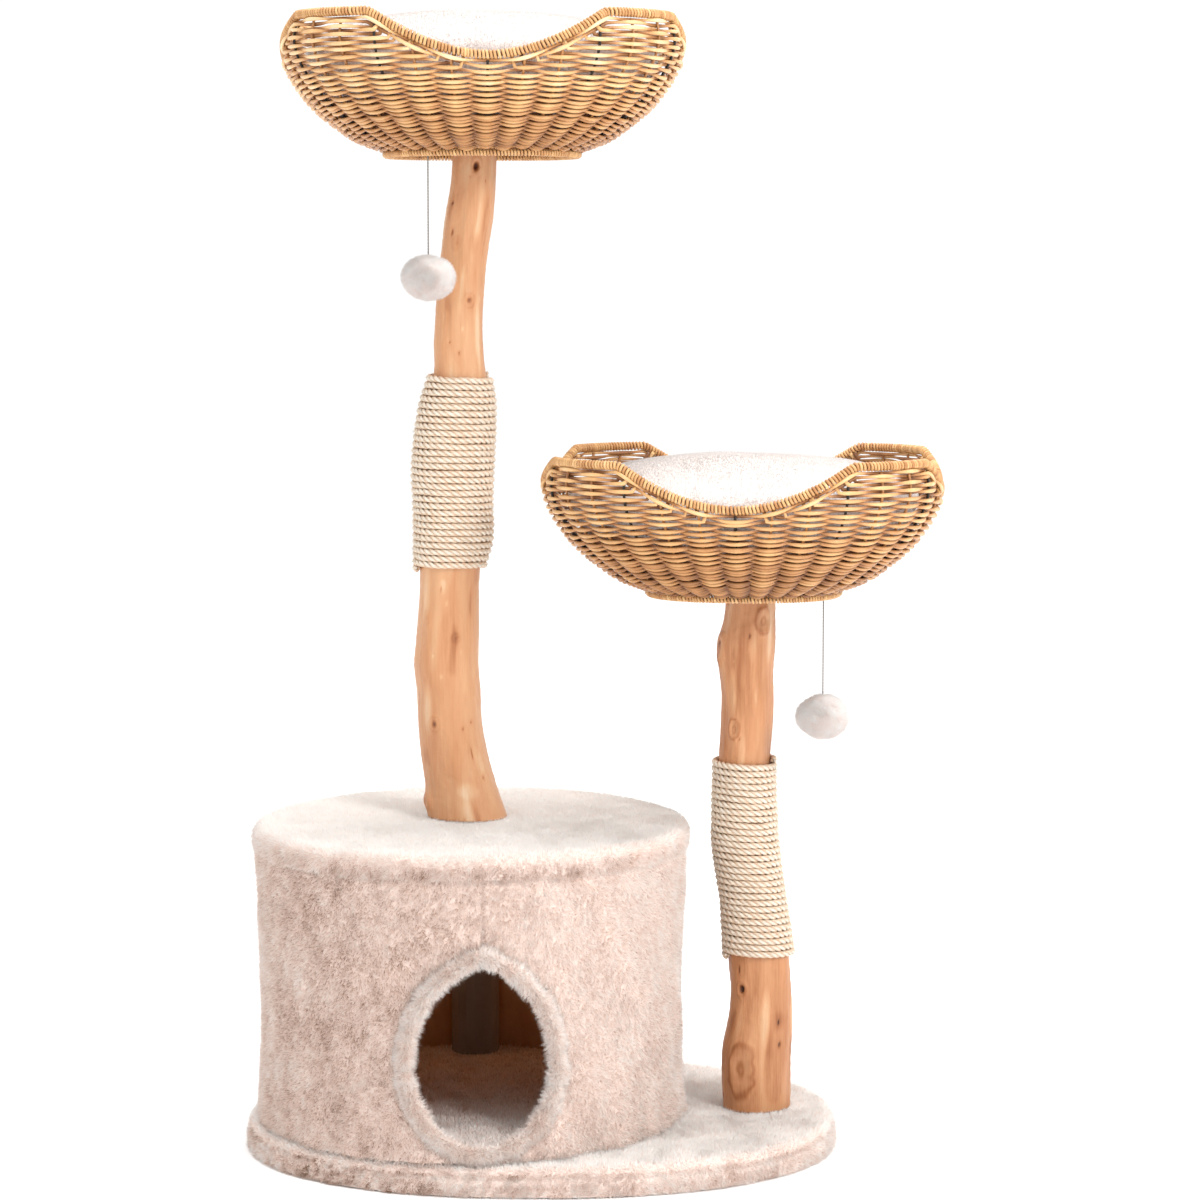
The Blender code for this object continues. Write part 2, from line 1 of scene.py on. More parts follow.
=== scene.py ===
"""Looks of the cat tree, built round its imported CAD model.

Metres, +Z up, in the CAD's own frame: the origin is under the middle of the base, +X runs from
the tall post to the short one, and -Y is the side with the doorway.
"""
import itertools
import math

import bpy
import numpy as np
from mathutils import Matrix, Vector


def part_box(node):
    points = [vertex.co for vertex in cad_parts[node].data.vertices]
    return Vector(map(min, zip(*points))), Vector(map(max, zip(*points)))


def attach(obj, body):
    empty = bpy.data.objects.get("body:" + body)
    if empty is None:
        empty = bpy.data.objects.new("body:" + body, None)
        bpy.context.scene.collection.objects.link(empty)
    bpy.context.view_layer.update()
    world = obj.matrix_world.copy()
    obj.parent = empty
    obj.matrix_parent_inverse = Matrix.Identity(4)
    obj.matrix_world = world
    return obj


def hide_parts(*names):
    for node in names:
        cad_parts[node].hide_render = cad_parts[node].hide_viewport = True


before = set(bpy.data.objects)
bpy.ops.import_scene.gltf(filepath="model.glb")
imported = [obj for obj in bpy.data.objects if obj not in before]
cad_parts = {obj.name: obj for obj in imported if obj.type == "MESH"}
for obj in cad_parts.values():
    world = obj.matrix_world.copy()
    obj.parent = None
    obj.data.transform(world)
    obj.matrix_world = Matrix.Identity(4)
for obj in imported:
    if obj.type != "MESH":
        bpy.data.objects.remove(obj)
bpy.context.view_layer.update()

PI, TAU = math.pi, math.tau
DOWN = np.array([0.0, 0.0, -1.0])
UP = np.array([0.0, 0.0, 1.0])
MM = 0.001

# Condo and base, as the CAD has them
BASE_HALF = (0.326, 0.25)
BASE_POWER = 2.2
CONDO_CENTRE = np.array([-0.0775, 0.0])
WALL_SHARES = (0.0, 0.22, 0.5, 0.78, 1.0)
WALL_RADII = (0.237, 0.2335, 0.2315, 0.233, 0.2365)
DOOR_ANGLE = math.radians(4.7 - 90)
DOOR_HALF_WIDTH = 0.073
DOOR_RISE = 0.108
DOOR_DROP = 0.085
DOOR_WIDE_Z = 0.137
HEM_RADIUS = 0.0075
HEM_SHIFT = 0.0016              # room for the pile on the doorway's edge
PILE_ROOM = 0.0025              # and on the tops of the covers

# Baskets
TURNS = {"upper": math.radians(3.7), "lower": math.radians(-5.0)}
OUTLINE_SHARE = (0.0, 0.09, 0.2, 0.35, 0.5, 0.7, 0.85, 1.0)
OUTLINE_HALF = (0.106, 0.138, 0.16, 0.184, 0.2, 0.215, 0.2185, 0.214)
FLOOR_POWER, RIM_POWER = 2.3, 3.0
BASKET_DEPTH = 0.965
BASKET_WALL = 0.008
BASKET_FLOOR = 0.0093
FRONT_DIP, FRONT_DIP_HALF = 0.045, 0.126
SIDE_DIP, SIDE_DIP_HALF = 0.04, 0.12
RIM_RADIUS = 0.005
RIM_CLEARANCE = 0.0014
HOOP_HALF = (0.104, 0.098)
HOOP_RADIUS = 0.0043
STAKES = 36
SPOKES = 18                     # canes under the floor's weave
STAKE_RADIUS = 0.0015
CANE_RADIUS = 0.0018
FIRST_ROW = 0.0022              # height of the first row's middle, along the wall
RIM_PITCH = 0.0039              # between the rows that follow the rim
PER_STAKE = 8                   # points of a row between two stakes

ROPE = 0.0072                   # sisal rope's diameter
ROPE_LAY = 0.023                # length in which its strands turn once
ROPE_START = math.radians(200)
PER_LAY = 14                    # points of a rope in one lay
STRAND_OFFSET, STRAND_RADIUS = 0.00205, 0.00185
SISAL_FIBRES = 4000
POST_STEP = 0.0022              # height between two rings of a post's points
POST_COLUMNS = 150
BORE_REACH = 0.015              # a CAD section's points nearer its middle belong to the bolt's bore
LEAST_RING = 12                 # points that a full CAD section has at least
STRING_RADIUS = 0.0009
STRING_LAY = 0.0065

# Pile: strands in each piece, their length and width
WALL_PILE = (66000, 0.0076, 0.001)
TOP_PILE = (66000, 0.0062, 0.0009)
BASE_PILE = (98000, 0.0072, 0.001)
FLOOR_PILE = (42000, 0.006, 0.0011)
HEM_PILE = (40000, 0.0105, 0.001)
CUSHION_PILE = (64000, 0.003, 0.0008)
POMPOM_PILE = (30000, 0.0074, 0.0008)
LONGEST_HAIR = 0.0078           # of a pompom, so that none touches a post when both swings are at a limit
ROOT_DEPTH = 0.0006             # of every strand, below the surface it grows from


# ---------------- numbers

def unit(v):
    return v / np.maximum(np.linalg.norm(v, axis=-1, keepdims=True), 1e-12)


def clamp(value):
    return np.clip(value, 0, 1)


def bell(distance):
    """A smooth hump: 1 at distance 0, nearly nothing past 2."""
    return np.exp(-distance ** 2)


def near(points, middle, reach):
    """Whether points lie within reach of a vertical line through the middle."""
    return np.hypot(*(points[:, :2] - middle).T) < reach


def xyz(x, y, z):
    """Points or directions from their three coordinates, broadcast together."""
    return np.stack(np.broadcast_arrays(x, y, z), -1)


def through(xs, ys, at):
    """A smooth curve through the points (xs, ys), read at the positions at."""
    xs, ys, at = np.asarray(xs, float), np.asarray(ys, float), np.asarray(at, float)
    slope = np.gradient(ys, xs)
    k = np.clip(np.searchsorted(xs, at, side="right") - 1, 0, len(xs) - 2)
    step = xs[k + 1] - xs[k]
    t = clamp((at - xs[k]) / step)
    return ((2 * t ** 3 - 3 * t ** 2 + 1) * ys[k] + (t ** 3 - 2 * t ** 2 + t) * step * slope[k]
            + (3 * t ** 2 - 2 * t ** 3) * ys[k + 1] + (t ** 3 - t ** 2) * step * slope[k + 1])


def noise(points, size, seed=0):
    """Smooth noise from -1 to 1, with features about size metres across."""
    p = np.asarray(points, float) / np.asarray(size, float) + 31.7 + 7.3 * seed
    cell = np.floor(p).astype(np.int64)
    f = p - cell
    f = f * f * (3 - 2 * f)
    total = np.zeros(p.shape[:-1])
    for corner in itertools.product((0, 1), repeat=3):
        c = cell + np.array(corner)
        h = (c[..., 0] * 73856093) ^ (c[..., 1] * 19349663) ^ (c[..., 2] * 83492791) ^ (seed * 5081)
        h = ((h ^ (h >> 13)) * 1274126177) & 0x7FFFFFFF
        h = ((h ^ (h >> 11)) * 668265263) & 0x7FFFFFFF
        value = ((h >> 7) & 0xFFFF) / 32767.5 - 1
        weight = np.prod(np.where(np.array(corner) == 1, f, 1 - f), axis=-1)
        total += weight * value
    return total


def swirl(points, size, seed):
    """A direction that wanders over the points."""
    return np.stack([noise(points, size, seed + k) for k in range(3)], -1)


def painted_sheen(points, seed):
    """Painted sheen: light and dark patches where the pile lies one way or another."""
    return 0.08 * noise(points, 0.035, seed) + 0.12 * noise(points, 0.011, seed + 1) \
        + 0.12 * noise(points, 0.0045, seed + 2)


def circle(count):
    """Angles evenly spaced round a whole turn."""
    return TAU * np.arange(count) / count


def signed(turn):
    """An angle brought between minus half a turn and half a turn."""
    return np.mod(turn + PI, TAU) - PI


def running(steps):
    """The sum of the steps so far, from 0."""
    return np.concatenate([[0], np.cumsum(steps)])


def step_lengths(path):
    return np.linalg.norm(np.diff(path, axis=0), axis=1)


def read_along(at, where, points):
    """Points at the positions at, between points that stand at the positions where."""
    return xyz(*(np.interp(at, where, points[:, axis]) for axis in range(3)))


def superellipse(angle, power):
    """Unit superellipse at an angle: x and y."""
    c, s = np.cos(angle), np.sin(angle)
    reach = (np.abs(c) ** power + np.abs(s) ** power) ** (-1 / power)
    return reach * c, reach * s


# ---------------- meshes

def join(parts):
    """One (points, faces, tone) from several; faces are arrays of 3 or 4 corners."""
    points, faces, tones, start = [], {3: [], 4: []}, [], 0
    for part_points, part_faces, part_tone in parts:
        points.append(part_points)
        tones.append(np.broadcast_to(part_tone, len(part_points)))
        for block in part_faces:
            faces[block.shape[1]].append(block + start)
        start += len(part_points)
    return (np.concatenate(points), [np.concatenate(blocks) for blocks in faces.values() if blocks],
            np.concatenate(tones))


def piece(name, shape, material, body="stand", replaces=()):
    """A mesh object from (points, faces, tone), riding on a body."""
    points, faces, tone = shape
    mesh = bpy.data.meshes.new(name)
    mesh.vertices.add(len(points))
    mesh.vertices.foreach_set("co", np.asarray(points, np.float32).ravel())
    sizes = np.concatenate([np.full(len(block), block.shape[1]) for block in faces])
    corners = np.concatenate([block.ravel() for block in faces]).astype(np.int32)
    mesh.loops.add(len(corners))
    mesh.loops.foreach_set("vertex_index", corners)
    mesh.polygons.add(len(sizes))
    mesh.polygons.foreach_set("loop_start", np.concatenate([[0], np.cumsum(sizes)[:-1]]).astype(np.int32))
    mesh.update(calc_edges=True)
    mesh.shade_smooth()
    layer = mesh.attributes.new("tone", "FLOAT", "POINT")
    layer.data.foreach_set("value", np.broadcast_to(tone, len(points)).astype(np.float32))
    mesh.materials.append(material)
    made = bpy.data.objects.new(name, mesh)
    bpy.context.scene.collection.objects.link(made)
    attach(made, body)
    if replaces:
        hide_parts(*replaces)
    return made


def tube(path, radius, out, sides=6, closed=False, tone=0.5):
    """A round tube along path; out is a direction, or one for each point, across the path."""
    path = np.asarray(path, float)
    count = len(path)
    ahead = np.roll(path, -1, 0) - np.roll(path, 1, 0)
    if not closed:
        ahead[0], ahead[-1] = path[1] - path[0], path[-1] - path[-2]
    ahead = unit(ahead)
    side = unit(np.cross(ahead, np.broadcast_to(out, path.shape)))
    lift = np.cross(side, ahead)
    angle = circle(sides)
    radius = np.broadcast_to(radius, count)[:, None, None]
    ring = np.cos(angle)[None, :, None] * lift[:, None] + np.sin(angle)[None, :, None] * side[:, None]
    tone = np.broadcast_to(tone, count)
    ends = None if closed else (path[[0, -1]], tone[[0, -1]])
    return grid(path[:, None] + radius * ring, tone[:, None], closed=closed, ends=ends)


def grid(points, tone=0.5, keep=None, closed=False, ends=None):
    """A sheet from points[row, column], closed across, and along as well if closed.

    keep says which cells it has; ends gives the middles of its two end caps, and their tones.
    """
    rows, columns = points.shape[:2]
    row = np.arange(rows if closed else rows - 1)[:, None] * columns
    after = (row + columns) % (rows * columns)
    k = np.arange(columns)
    k1 = (k + 1) % columns
    quads = np.stack([row + k, row + k1, after + k1, after + k], -1)
    faces = [quads.reshape(-1, 4) if keep is None else quads[keep]]
    tone = np.broadcast_to(tone, (rows, columns)).reshape(-1)
    points = points.reshape(-1, 3)
    if ends:
        middle = np.full(columns, rows * columns)
        last = (rows - 1) * columns
        faces += [np.stack([middle, k1, k], -1), np.stack([middle + 1, last + k, last + k1], -1)]
        points, tone = np.concatenate([points, ends[0]]), np.concatenate([tone, ends[1]])
    return points, faces, tone


def resample(path, count):
    """A closed path's points again, evenly spaced."""
    loop = np.concatenate([path, path[:1]])
    length = running(step_lengths(loop))
    return read_along(np.arange(count) / count * length[-1], length, loop), length[-1]


def scatter(shape, count, seed, reject=None):
    """Random points on a mesh, with the normal there."""
    rng = np.random.default_rng(seed)
    points, faces, _ = shape
    triangles = [block if block.shape[1] == 3 else np.concatenate([block[:, :3], block[:, [0, 2, 3]]])
                 for block in faces]
    triangles = np.concatenate(triangles)
    a, b, c = (points[triangles[:, k]] for k in range(3))
    cross = np.cross(b - a, c - a)
    area = np.linalg.norm(cross, axis=1)
    chosen = rng.choice(len(triangles), count, p=area / area.sum())
    u, v = rng.random((2, count, 1))
    u, v = np.where(u + v > 1, 1 - u, u), np.where(u + v > 1, 1 - v, v)
    roots = a[chosen] + u * (b - a)[chosen] + v * (c - a)[chosen]
    normals = unit(cross[chosen])
    if reject is not None:
        kept = ~reject(roots)
        roots, normals = roots[kept], normals[kept]
    return roots, normals


def fur(roots, normals, lean, length, width, seed, shade=0.0, splay=0.35, grain=0.09, lowest=None):
    """Pile: slender three-sided spikes, each with three corners at its root and a tip."""
    rng = np.random.default_rng(seed)
    count = len(roots)
    lean = lean - normals * np.sum(lean * normals, -1, keepdims=True)
    ahead = unit(normals + 0.8 * (lean + splay * rng.normal(size=(count, 3))))
    side = unit(np.cross(ahead, rng.normal(size=(count, 3))))
    other = np.cross(ahead, side)
    root = roots - normals * ROOT_DEPTH
    corners = [root + width / 2 * (math.cos(turn) * side + math.sin(turn) * other)
               for turn in (0.0, TAU / 3, 2 * TAU / 3)]
    tip = root + ahead * length * rng.uniform(0.65, 1.15, (count, 1))
    points = np.stack([*corners, tip], 1).reshape(-1, 3)
    if lowest is not None:
        points[:, 2] = np.maximum(points[:, 2], lowest)
    start = 4 * np.arange(count)[:, None]
    faces = [np.concatenate([start + np.array([corner]) for corner in ((0, 1, 3), (1, 2, 3), (2, 0, 3))])]
    own = rng.normal(0, grain, (count, 1)) + np.broadcast_to(np.reshape(shade, (-1, 1)), (count, 1))
    # painted shade: each strand's root is painted darker than its tip
    return points, faces, (np.array([[0.36, 0.36, 0.36, 0.84]]) + own).reshape(-1)


def grow(name, shape, size, root_seeds, seeds, strands, reject=None, paint=None, slot="plush", body="stand",
         **settings):
    """Pile over a shape, in one piece for each seed; strands says how it leans, and how light it is."""
    count, length, width = size
    hair = []
    for part, (root_seed, seed) in enumerate(zip(root_seeds, seeds)):
        roots, normals = scatter(shape, count, root_seed, reject)
        own = {"length": length, **strands(roots, normals)}
        spikes = fur(roots, normals, width=width, seed=seed, **own, **settings)
        own_name = f"{name}_{part}" if len(seeds) > 1 else name
        hair.append(piece(own_name, spikes, paint or pile, body))
    return hair


# ---------------- materials

def colour(red, green, blue, dim):
    """A display colour, from 0 to 255, as the shader's linear one, dimmed."""
    def linear(v):
        v /= 255
        return v / 12.92 if v <= 0.04045 else ((v + 0.055) / 1.055) ** 2.4
    return (linear(red) * dim, linear(green) * dim, linear(blue) * dim, 1.0)


def add(tree, kind, values, links):
    """A shader node with the values of its inputs set, and its linked inputs linked."""
    node = tree.nodes.new(kind)
    for socket, value in values.items():
        node.inputs[socket].default_value = value
    for socket, source in links.items():
        tree.links.new(source, node.inputs[socket])
    return node


# node of each kind of texture, and the input that its detail goes to
NOISE = ("ShaderNodeTexNoise", "Detail")
WAVE = ("ShaderNodeTexWave", "Distortion")


def texture(tree, kind, scale, detail):
    """The output of a texture node in object coordinates; scale is one number, or one for each axis."""
    place = add(tree, "ShaderNodeTexCoord", {}, {})
    scale = scale if isinstance(scale, tuple) else (scale, scale, scale)
    mapping = add(tree, "ShaderNodeMapping", {"Scale": scale}, {"Vector": place.outputs["Object"]})
    node_type, setting = kind
    node = add(tree, node_type, {"Scale": 1.0, setting: detail}, {"Vector": mapping.outputs["Vector"]})
    return node.outputs["Fac"]


def own_tone(tree):
    """The output of a node that reads the mesh's own tone."""
    node = tree.nodes.new("ShaderNodeAttribute")
    node.attribute_name = "tone"
    return node.outputs["Fac"]


def mixed(tree, sources):
    """The weighted sum of sources: (weight, kind, scale, detail), or (weight,) for the mesh's tone."""
    total = None
    for weight, *which in sources:
        links = {0: texture(tree, *which) if which else own_tone(tree)}
        if total is not None:
            links[2] = total
        node = add(tree, "ShaderNodeMath", {1: weight, 2: 0.0}, links)
        node.operation = "MULTIPLY_ADD"
        total = node.outputs[0]
    return total


def material(name, stops, sources, bumps=(), roughness=(0.9, 0.8), sheen=0.0, metallic=0.0, coat=0.0,
             specular=0.5, depth=0.001, dim=0.92):
    """A Principled material whose colour ramp, roughness and bump come from textures."""
    made = bpy.data.materials.new(name)
    made.use_nodes = True
    tree = made.node_tree
    shader = tree.nodes["Principled BSDF"]
    for socket, value in (("Metallic", metallic), ("Sheen Weight", sheen), ("Sheen Roughness", 0.5),
                          ("Coat Weight", coat), ("Specular IOR Level", specular)):
        shader.inputs[socket].default_value = value
    amount = mixed(tree, sources)
    ramp = add(tree, "ShaderNodeValToRGB", {}, {"Fac": amount})
    elements = ramp.color_ramp.elements
    while len(elements) < len(stops):
        elements.new(0.5)
    for element, (position, *_) in zip(elements, stops):
        element.position = position
    for element, (_, *value) in zip(elements, stops):
        element.color = colour(*value, dim)
    tree.links.new(ramp.outputs["Color"], shader.inputs["Base Color"])
    low, high = roughness
    rough = add(tree, "ShaderNodeMapRange", {"To Min": low, "To Max": high}, {"Value": amount})
    tree.links.new(rough.outputs["Result"], shader.inputs["Roughness"])
    if bumps:
        height = mixed(tree, bumps)
        bump = add(tree, "ShaderNodeBump", {"Strength": 1.0, "Distance": depth}, {"Height": height})
        tree.links.new(bump.outputs["Normal"], shader.inputs["Normal"])
    return made


# position and display colour of each stop of a ramp
PLUSH_STOPS = [(0, 158, 124, 100), (0.2, 200, 168, 150), (0.45, 236, 210, 196), (0.75, 252, 236, 227),
               (1, 255, 251, 246)]
WHITE_STOPS = [(0, 84, 60, 46), (0.15, 246, 222, 212), (0.38, 252, 236, 229), (0.66, 255, 245, 240),
               (1, 255, 252, 249)]
CANE_STOPS = [(0, 66, 36, 18), (0.3, 126, 78, 42), (0.55, 188, 132, 80), (0.8, 228, 182, 124),
              (1, 248, 218, 172)]
WOOD_STOPS = [(0, 44, 24, 14), (0.18, 104, 58, 32), (0.38, 186, 118, 72), (0.55, 222, 158, 110),
              (0.75, 236, 182, 136), (1, 250, 220, 184)]
SISAL_STOPS = [(0, 205, 160, 118), (0.3, 240, 206, 174), (0.6, 252, 232, 208), (1, 255, 246, 232)]
TONE = (1.0,)
SOFT = {"roughness": (0.95, 0.85), "sheen": 0.12}
HAIR = {"specular": 0.1, **SOFT}

plush = material("plush", PLUSH_STOPS, [TONE, (0.12, NOISE, 60, 3), (0.1, NOISE, 420, 2)],
                 [(1.0, NOISE, 900, 4), (1.0, NOISE, 240, 3)], specular=0.15, depth=0.0012, **SOFT)
pile = material("pile", PLUSH_STOPS, [TONE, (0.12, NOISE, 60, 3)], dim=1.0, **HAIR)
# lit and shaded copies of one white pile, painted light: the cushions' is dimmed against the strong top
# light, the pompoms' is not, as they hang in the baskets' shade
cushion_pile = material("cushion_pile", WHITE_STOPS, [TONE, (0.1, NOISE, 70, 3)], dim=0.66, **HAIR)
pompom_pile = material("pompom_pile", WHITE_STOPS, [TONE, (0.1, NOISE, 90, 3)], dim=1.0, **HAIR)
cushion_plush = material(
    "cushion_plush", WHITE_STOPS, [TONE, (0.1, NOISE, 70, 3), (0.08, NOISE, 500, 2)],
    [(1.0, NOISE, 1100, 4), (1.0, NOISE, 260, 3)], specular=0.15, dim=0.86, **SOFT)
# painted glow: the lining is orange-brown, standing in for light that shines through the fabric
lining_painted_glow = material(
    "lining_painted_glow", [(0, 196, 124, 70), (0.5, 236, 168, 108), (1, 250, 200, 146)],
    [(0.6, NOISE, (40, 40, 9), 4), (0.4, NOISE, 700, 3)],
    [(0.6, WAVE, (1500, 1500, 0), 0.5), (0.6, WAVE, (0, 0, 1500), 0.5)],
    sheen=0.1, specular=0.2, depth=0.0003)
cane = material(
    "cane", CANE_STOPS, [(0.75,), (0.28, NOISE, 90, 4), (0.12, NOISE, 900, 3)],
    [(0.6, NOISE, 1600, 3), (0.6, NOISE, 300, 3)],
    roughness=(0.5, 0.36), coat=0.12, specular=0.45, depth=0.0003)
dark_wire = material(
    "dark_wire", [(0, 18, 16, 15), (1, 52, 46, 42)], [(1.0, NOISE, 400, 4)], [(1.0, NOISE, 1200, 4)],
    roughness=(0.6, 0.4), specular=0.4, depth=0.0002)
wood = material(
    "wood", WOOD_STOPS, [(0.72,), (0.3, NOISE, (55, 55, 5), 5), (0.16, NOISE, (420, 420, 30), 4),
                         (0.1, NOISE, 9, 3)],
    [(0.8, NOISE, (500, 500, 22), 5), (1.0, NOISE, (120, 120, 10), 4), (0.3, NOISE, 700, 4)],
    roughness=(0.62, 0.42), coat=0.05, specular=0.4, dim=0.71)
sisal = material(
    "sisal", SISAL_STOPS, [(0.8,), (0.25, NOISE, 500, 4), (0.15, NOISE, 45, 3)],
    [(1.0, NOISE, (1400, 1400, 2600), 4), (0.6, NOISE, 700, 4)],
    roughness=(0.95, 0.8), sheen=0.15, specular=0.2, depth=0.0006, dim=0.82)
cord_grey = material(
    "cord_grey", [(0, 96, 90, 86), (1, 184, 178, 172)], [(0.7,), (0.3, NOISE, 1500, 4)],
    [(1.0, NOISE, 2500, 4)], specular=0.2, depth=0.0002)
board = material(
    "board", [(0, 120, 86, 54), (0.5, 176, 136, 92), (1, 206, 170, 124)],
    [(0.7, NOISE, (14, 90, 500), 5), (0.3, NOISE, 300, 4)], [(1.0, NOISE, (30, 240, 900), 5)],
    roughness=(0.8, 0.6), specular=0.3, depth=0.0004)
paper = material(
    "paper", [(0, 120, 98, 72), (1, 172, 146, 112)], [(0.7, NOISE, 400, 5), (0.3, WAVE, (60, 60, 90), 2)],
    [(1.0, NOISE, 900, 5)], specular=0.2, depth=0.0003)
tube_cloth = material(
    "tube_cloth", [(0, 122, 104, 92), (0.5, 158, 140, 126), (1, 184, 168, 154)],
    [(0.5, NOISE, 30, 4), (0.5, NOISE, 900, 3)],
    [(0.6, WAVE, (1400, 1400, 0), 1), (0.6, WAVE, (0, 0, 1400), 1)], sheen=0.2, specular=0.2, depth=0.0004)
steel = material(
    "steel", [(0, 120, 122, 126), (1, 190, 192, 196)], [(1.0, NOISE, (900, 900, 60), 4)],
    [(1.0, NOISE, (900, 900, 60), 4)], roughness=(0.28, 0.42), metallic=1.0, depth=0.0001)
floor_paint = material("floor_paint", [(0, 252, 252, 252), (1, 255, 255, 255)], [(1.0, NOISE, 3, 3)],
                       specular=0.1, dim=1.0)


# ---------------- camera and light

CAMERA_LENS, CAMERA_SENSOR = 101.4, 36.0
CAMERA_SPOT = (0.0651, -3.7, 0.98)
CAMERA_TILT = math.radians(90 - 5.8)
SKY_STRENGTH = 1.08
MIDDLE = (0.0, 0.0, 0.6)
FLOOR_HALF, FLOOR_DROP = 14.0, 0.0004
# place, size and watts of each studio light
LIGHTS = {"key": ((2.3, -2.9, 2.5), (1.2, 1.2), 85), "top": ((0.3, 0.4, 6.0), (3.0, 3.0), 230),
          "fill": ((-2.4, -2.6, 1.4), (2.0, 2.0), 5), "back": ((0.6, 2.6, 2.4), (2.0, 1.5), 8)}
GLOW_WATTS, GLOW_RADIUS, GLOW_COLOUR = 0.085, 0.05, (1.0, 0.55, 0.24)


def stand(name, data, spot):
    """An object of the stage at a spot."""
    made = bpy.data.objects.new(name, data)
    bpy.context.scene.collection.objects.link(made)
    made.location = spot
    return made


def build_stage():
    """Camera, soft studio light, and a plain pale floor."""
    scene = bpy.context.scene
    data = bpy.data.cameras.new("camera")
    data.lens, data.sensor_width = CAMERA_LENS, CAMERA_SENSOR
    scene.camera = stand("camera", data, CAMERA_SPOT)
    scene.camera.rotation_euler = (CAMERA_TILT, 0.0, 0.0)
    scene.view_settings.view_transform = "Standard"
    scene.world = bpy.data.worlds.new("studio")
    scene.world.use_nodes = True
    background = scene.world.node_tree.nodes["Background"]
    background.inputs["Color"].default_value = (1.0, 1.0, 1.0, 1.0)
    background.inputs["Strength"].default_value = SKY_STRENGTH
    for name, (spot, size, watts) in LIGHTS.items():
        data = bpy.data.lights.new(name, "AREA")
        data.shape, data.energy = "RECTANGLE", watts
        data.size, data.size_y = size
        light = stand(name, data, spot)
        light.rotation_euler = (Vector(MIDDLE) - Vector(spot)).to_track_quat("-Z", "Y").to_euler()
    for side in (-1, 1):
        glow = bpy.data.lights.new("light_through_the_fabric", "POINT")
        glow.energy, glow.shadow_soft_size, glow.color = GLOW_WATTS, GLOW_RADIUS, GLOW_COLOUR
        stand("light_through_the_fabric", glow, (CONDO_CENTRE[0] + 0.1 * side, 0.11, 0.27))
    mesh = bpy.data.meshes.new("floor")
    corners = [(x * FLOOR_HALF, y * FLOOR_HALF, 0.0) for x, y in ((-1, -1), (1, -1), (1, 1), (-1, 1))]
    mesh.from_pydata(corners, [], [(0, 1, 2, 3)])
    mesh.materials.append(floor_paint)
    stand("floor", mesh, (0.0, 0.0, -FLOOR_DROP))


# ---------------- toys

def build_toy(level):
    """String with two twisted plies, its knot under the basket, and a faux fur pompom."""
    body = f"{level}_toy"
    low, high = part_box(f"{level}_toy_string")
    spot = ((low.x + high.x) / 2, (low.y + high.y) / 2)
    tie_low, tie_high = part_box(f"{level}_toy_tie")
    pompom_low, pompom_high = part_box(f"{level}_toy_pompom")
    centre = np.array([*spot, (pompom_low.z + pompom_high.z) / 2])
    heights = np.append(np.arange(high.z, low.z, -0.0012), low.z)
    path = xyz(*spot, heights)
    parts = []
    for ply in range(2):
        angle = TAU * heights / STRING_LAY + ply * PI
        shift = 0.42 * STRING_RADIUS * xyz(np.cos(angle), np.sin(angle), 0)
        parts.append(tube(path + shift, 0.6 * STRING_RADIUS, [1, 0, 0], tone=0.5 + 0.4 * np.sin(angle)))
    string = piece(f"{level}_string", join(parts), cord_grey, body, [f"{level}_toy_string"])
    half = (pompom_high - pompom_low) / 2
    pompom = build_pompom(level, centre, half.x, half.z)
    tie_centre = np.array([*spot, (tie_low.z + tie_high.z) / 2])
    build_knot(level, tie_centre, (tie_high.z - tie_low.z) / 2)


def build_knot(level, centre, radius):
    """An overhand knot with two short tails, tied to the floor of the basket."""
    t = np.linspace(0, TAU, 60, endpoint=False)
    loop = xyz(np.sin(t) + 2 * np.sin(2 * t), np.cos(t) - 2 * np.cos(2 * t), -1.3 * np.sin(3 * t))
    loop = centre + loop * (radius - STRING_RADIUS) / 3.0
    parts = [tube(loop, STRING_RADIUS, UP + 0.3, closed=True, tone=0.6)]
    for side in (-1, 1):
        tail = centre + np.linspace(0, 1, 8)[:, None] * np.array([[0.0026 * side, -0.0018, -0.003]])
        parts.append(tube(tail, 0.0008, [1, 0.3, 0]))
    piece(f"{level}_knot", join(parts), cord_grey, f"{level}_toy_tie", [f"{level}_toy_tie"])


def build_pompom(level, centre, half_width, half_height):
    """A soft lumpy core with long pile all round."""
    tilt = np.linspace(0.02, PI - 0.02, 26)[:, None]
    turn = circle(44)[None]
    ball = xyz(np.sin(tilt) * np.cos(turn), np.sin(tilt) * np.sin(turn), np.cos(tilt))
    seed = 3 if level == "upper" else 4
    lump = 1 + 0.04 * noise(ball, 0.9, seed)
    core = centre + ball * lump[..., None] * (np.array([half_width, half_width, half_height]) - 0.0055)
    shape = grid(core[::-1])
    body = f"{level}_toy"
    ball_piece = piece(f"{level}_pompom", shape, pompom_pile, body, [f"{level}_toy_pompom"])

    def strands(roots, normals):
        length = POMPOM_PILE[1] * (1 + 0.5 * noise(roots, 0.006, seed + 6))[:, None]
        # painted shade and light: the pile is painted darker on the underside and lighter on top
        shade = 0.2 * noise(roots, 0.006, seed + 5) + 0.22 * np.clip(normals[:, 2], -0.8, 0.5)
        lean = 0.6 * swirl(roots, 0.014, seed) + 0.45 * DOWN
        return dict(lean=lean, length=np.minimum(length, LONGEST_HAIR), shade=shade)

    hair = grow(f"{level}_pompom_pile", shape, POMPOM_PILE, [seed], [seed], strands, None, pompom_pile,
                "cushion", body)
    return [ball_piece, *hair]


build_stage()
for level in ("upper", "lower"):
    build_toy(level)


# ---------------- baskets

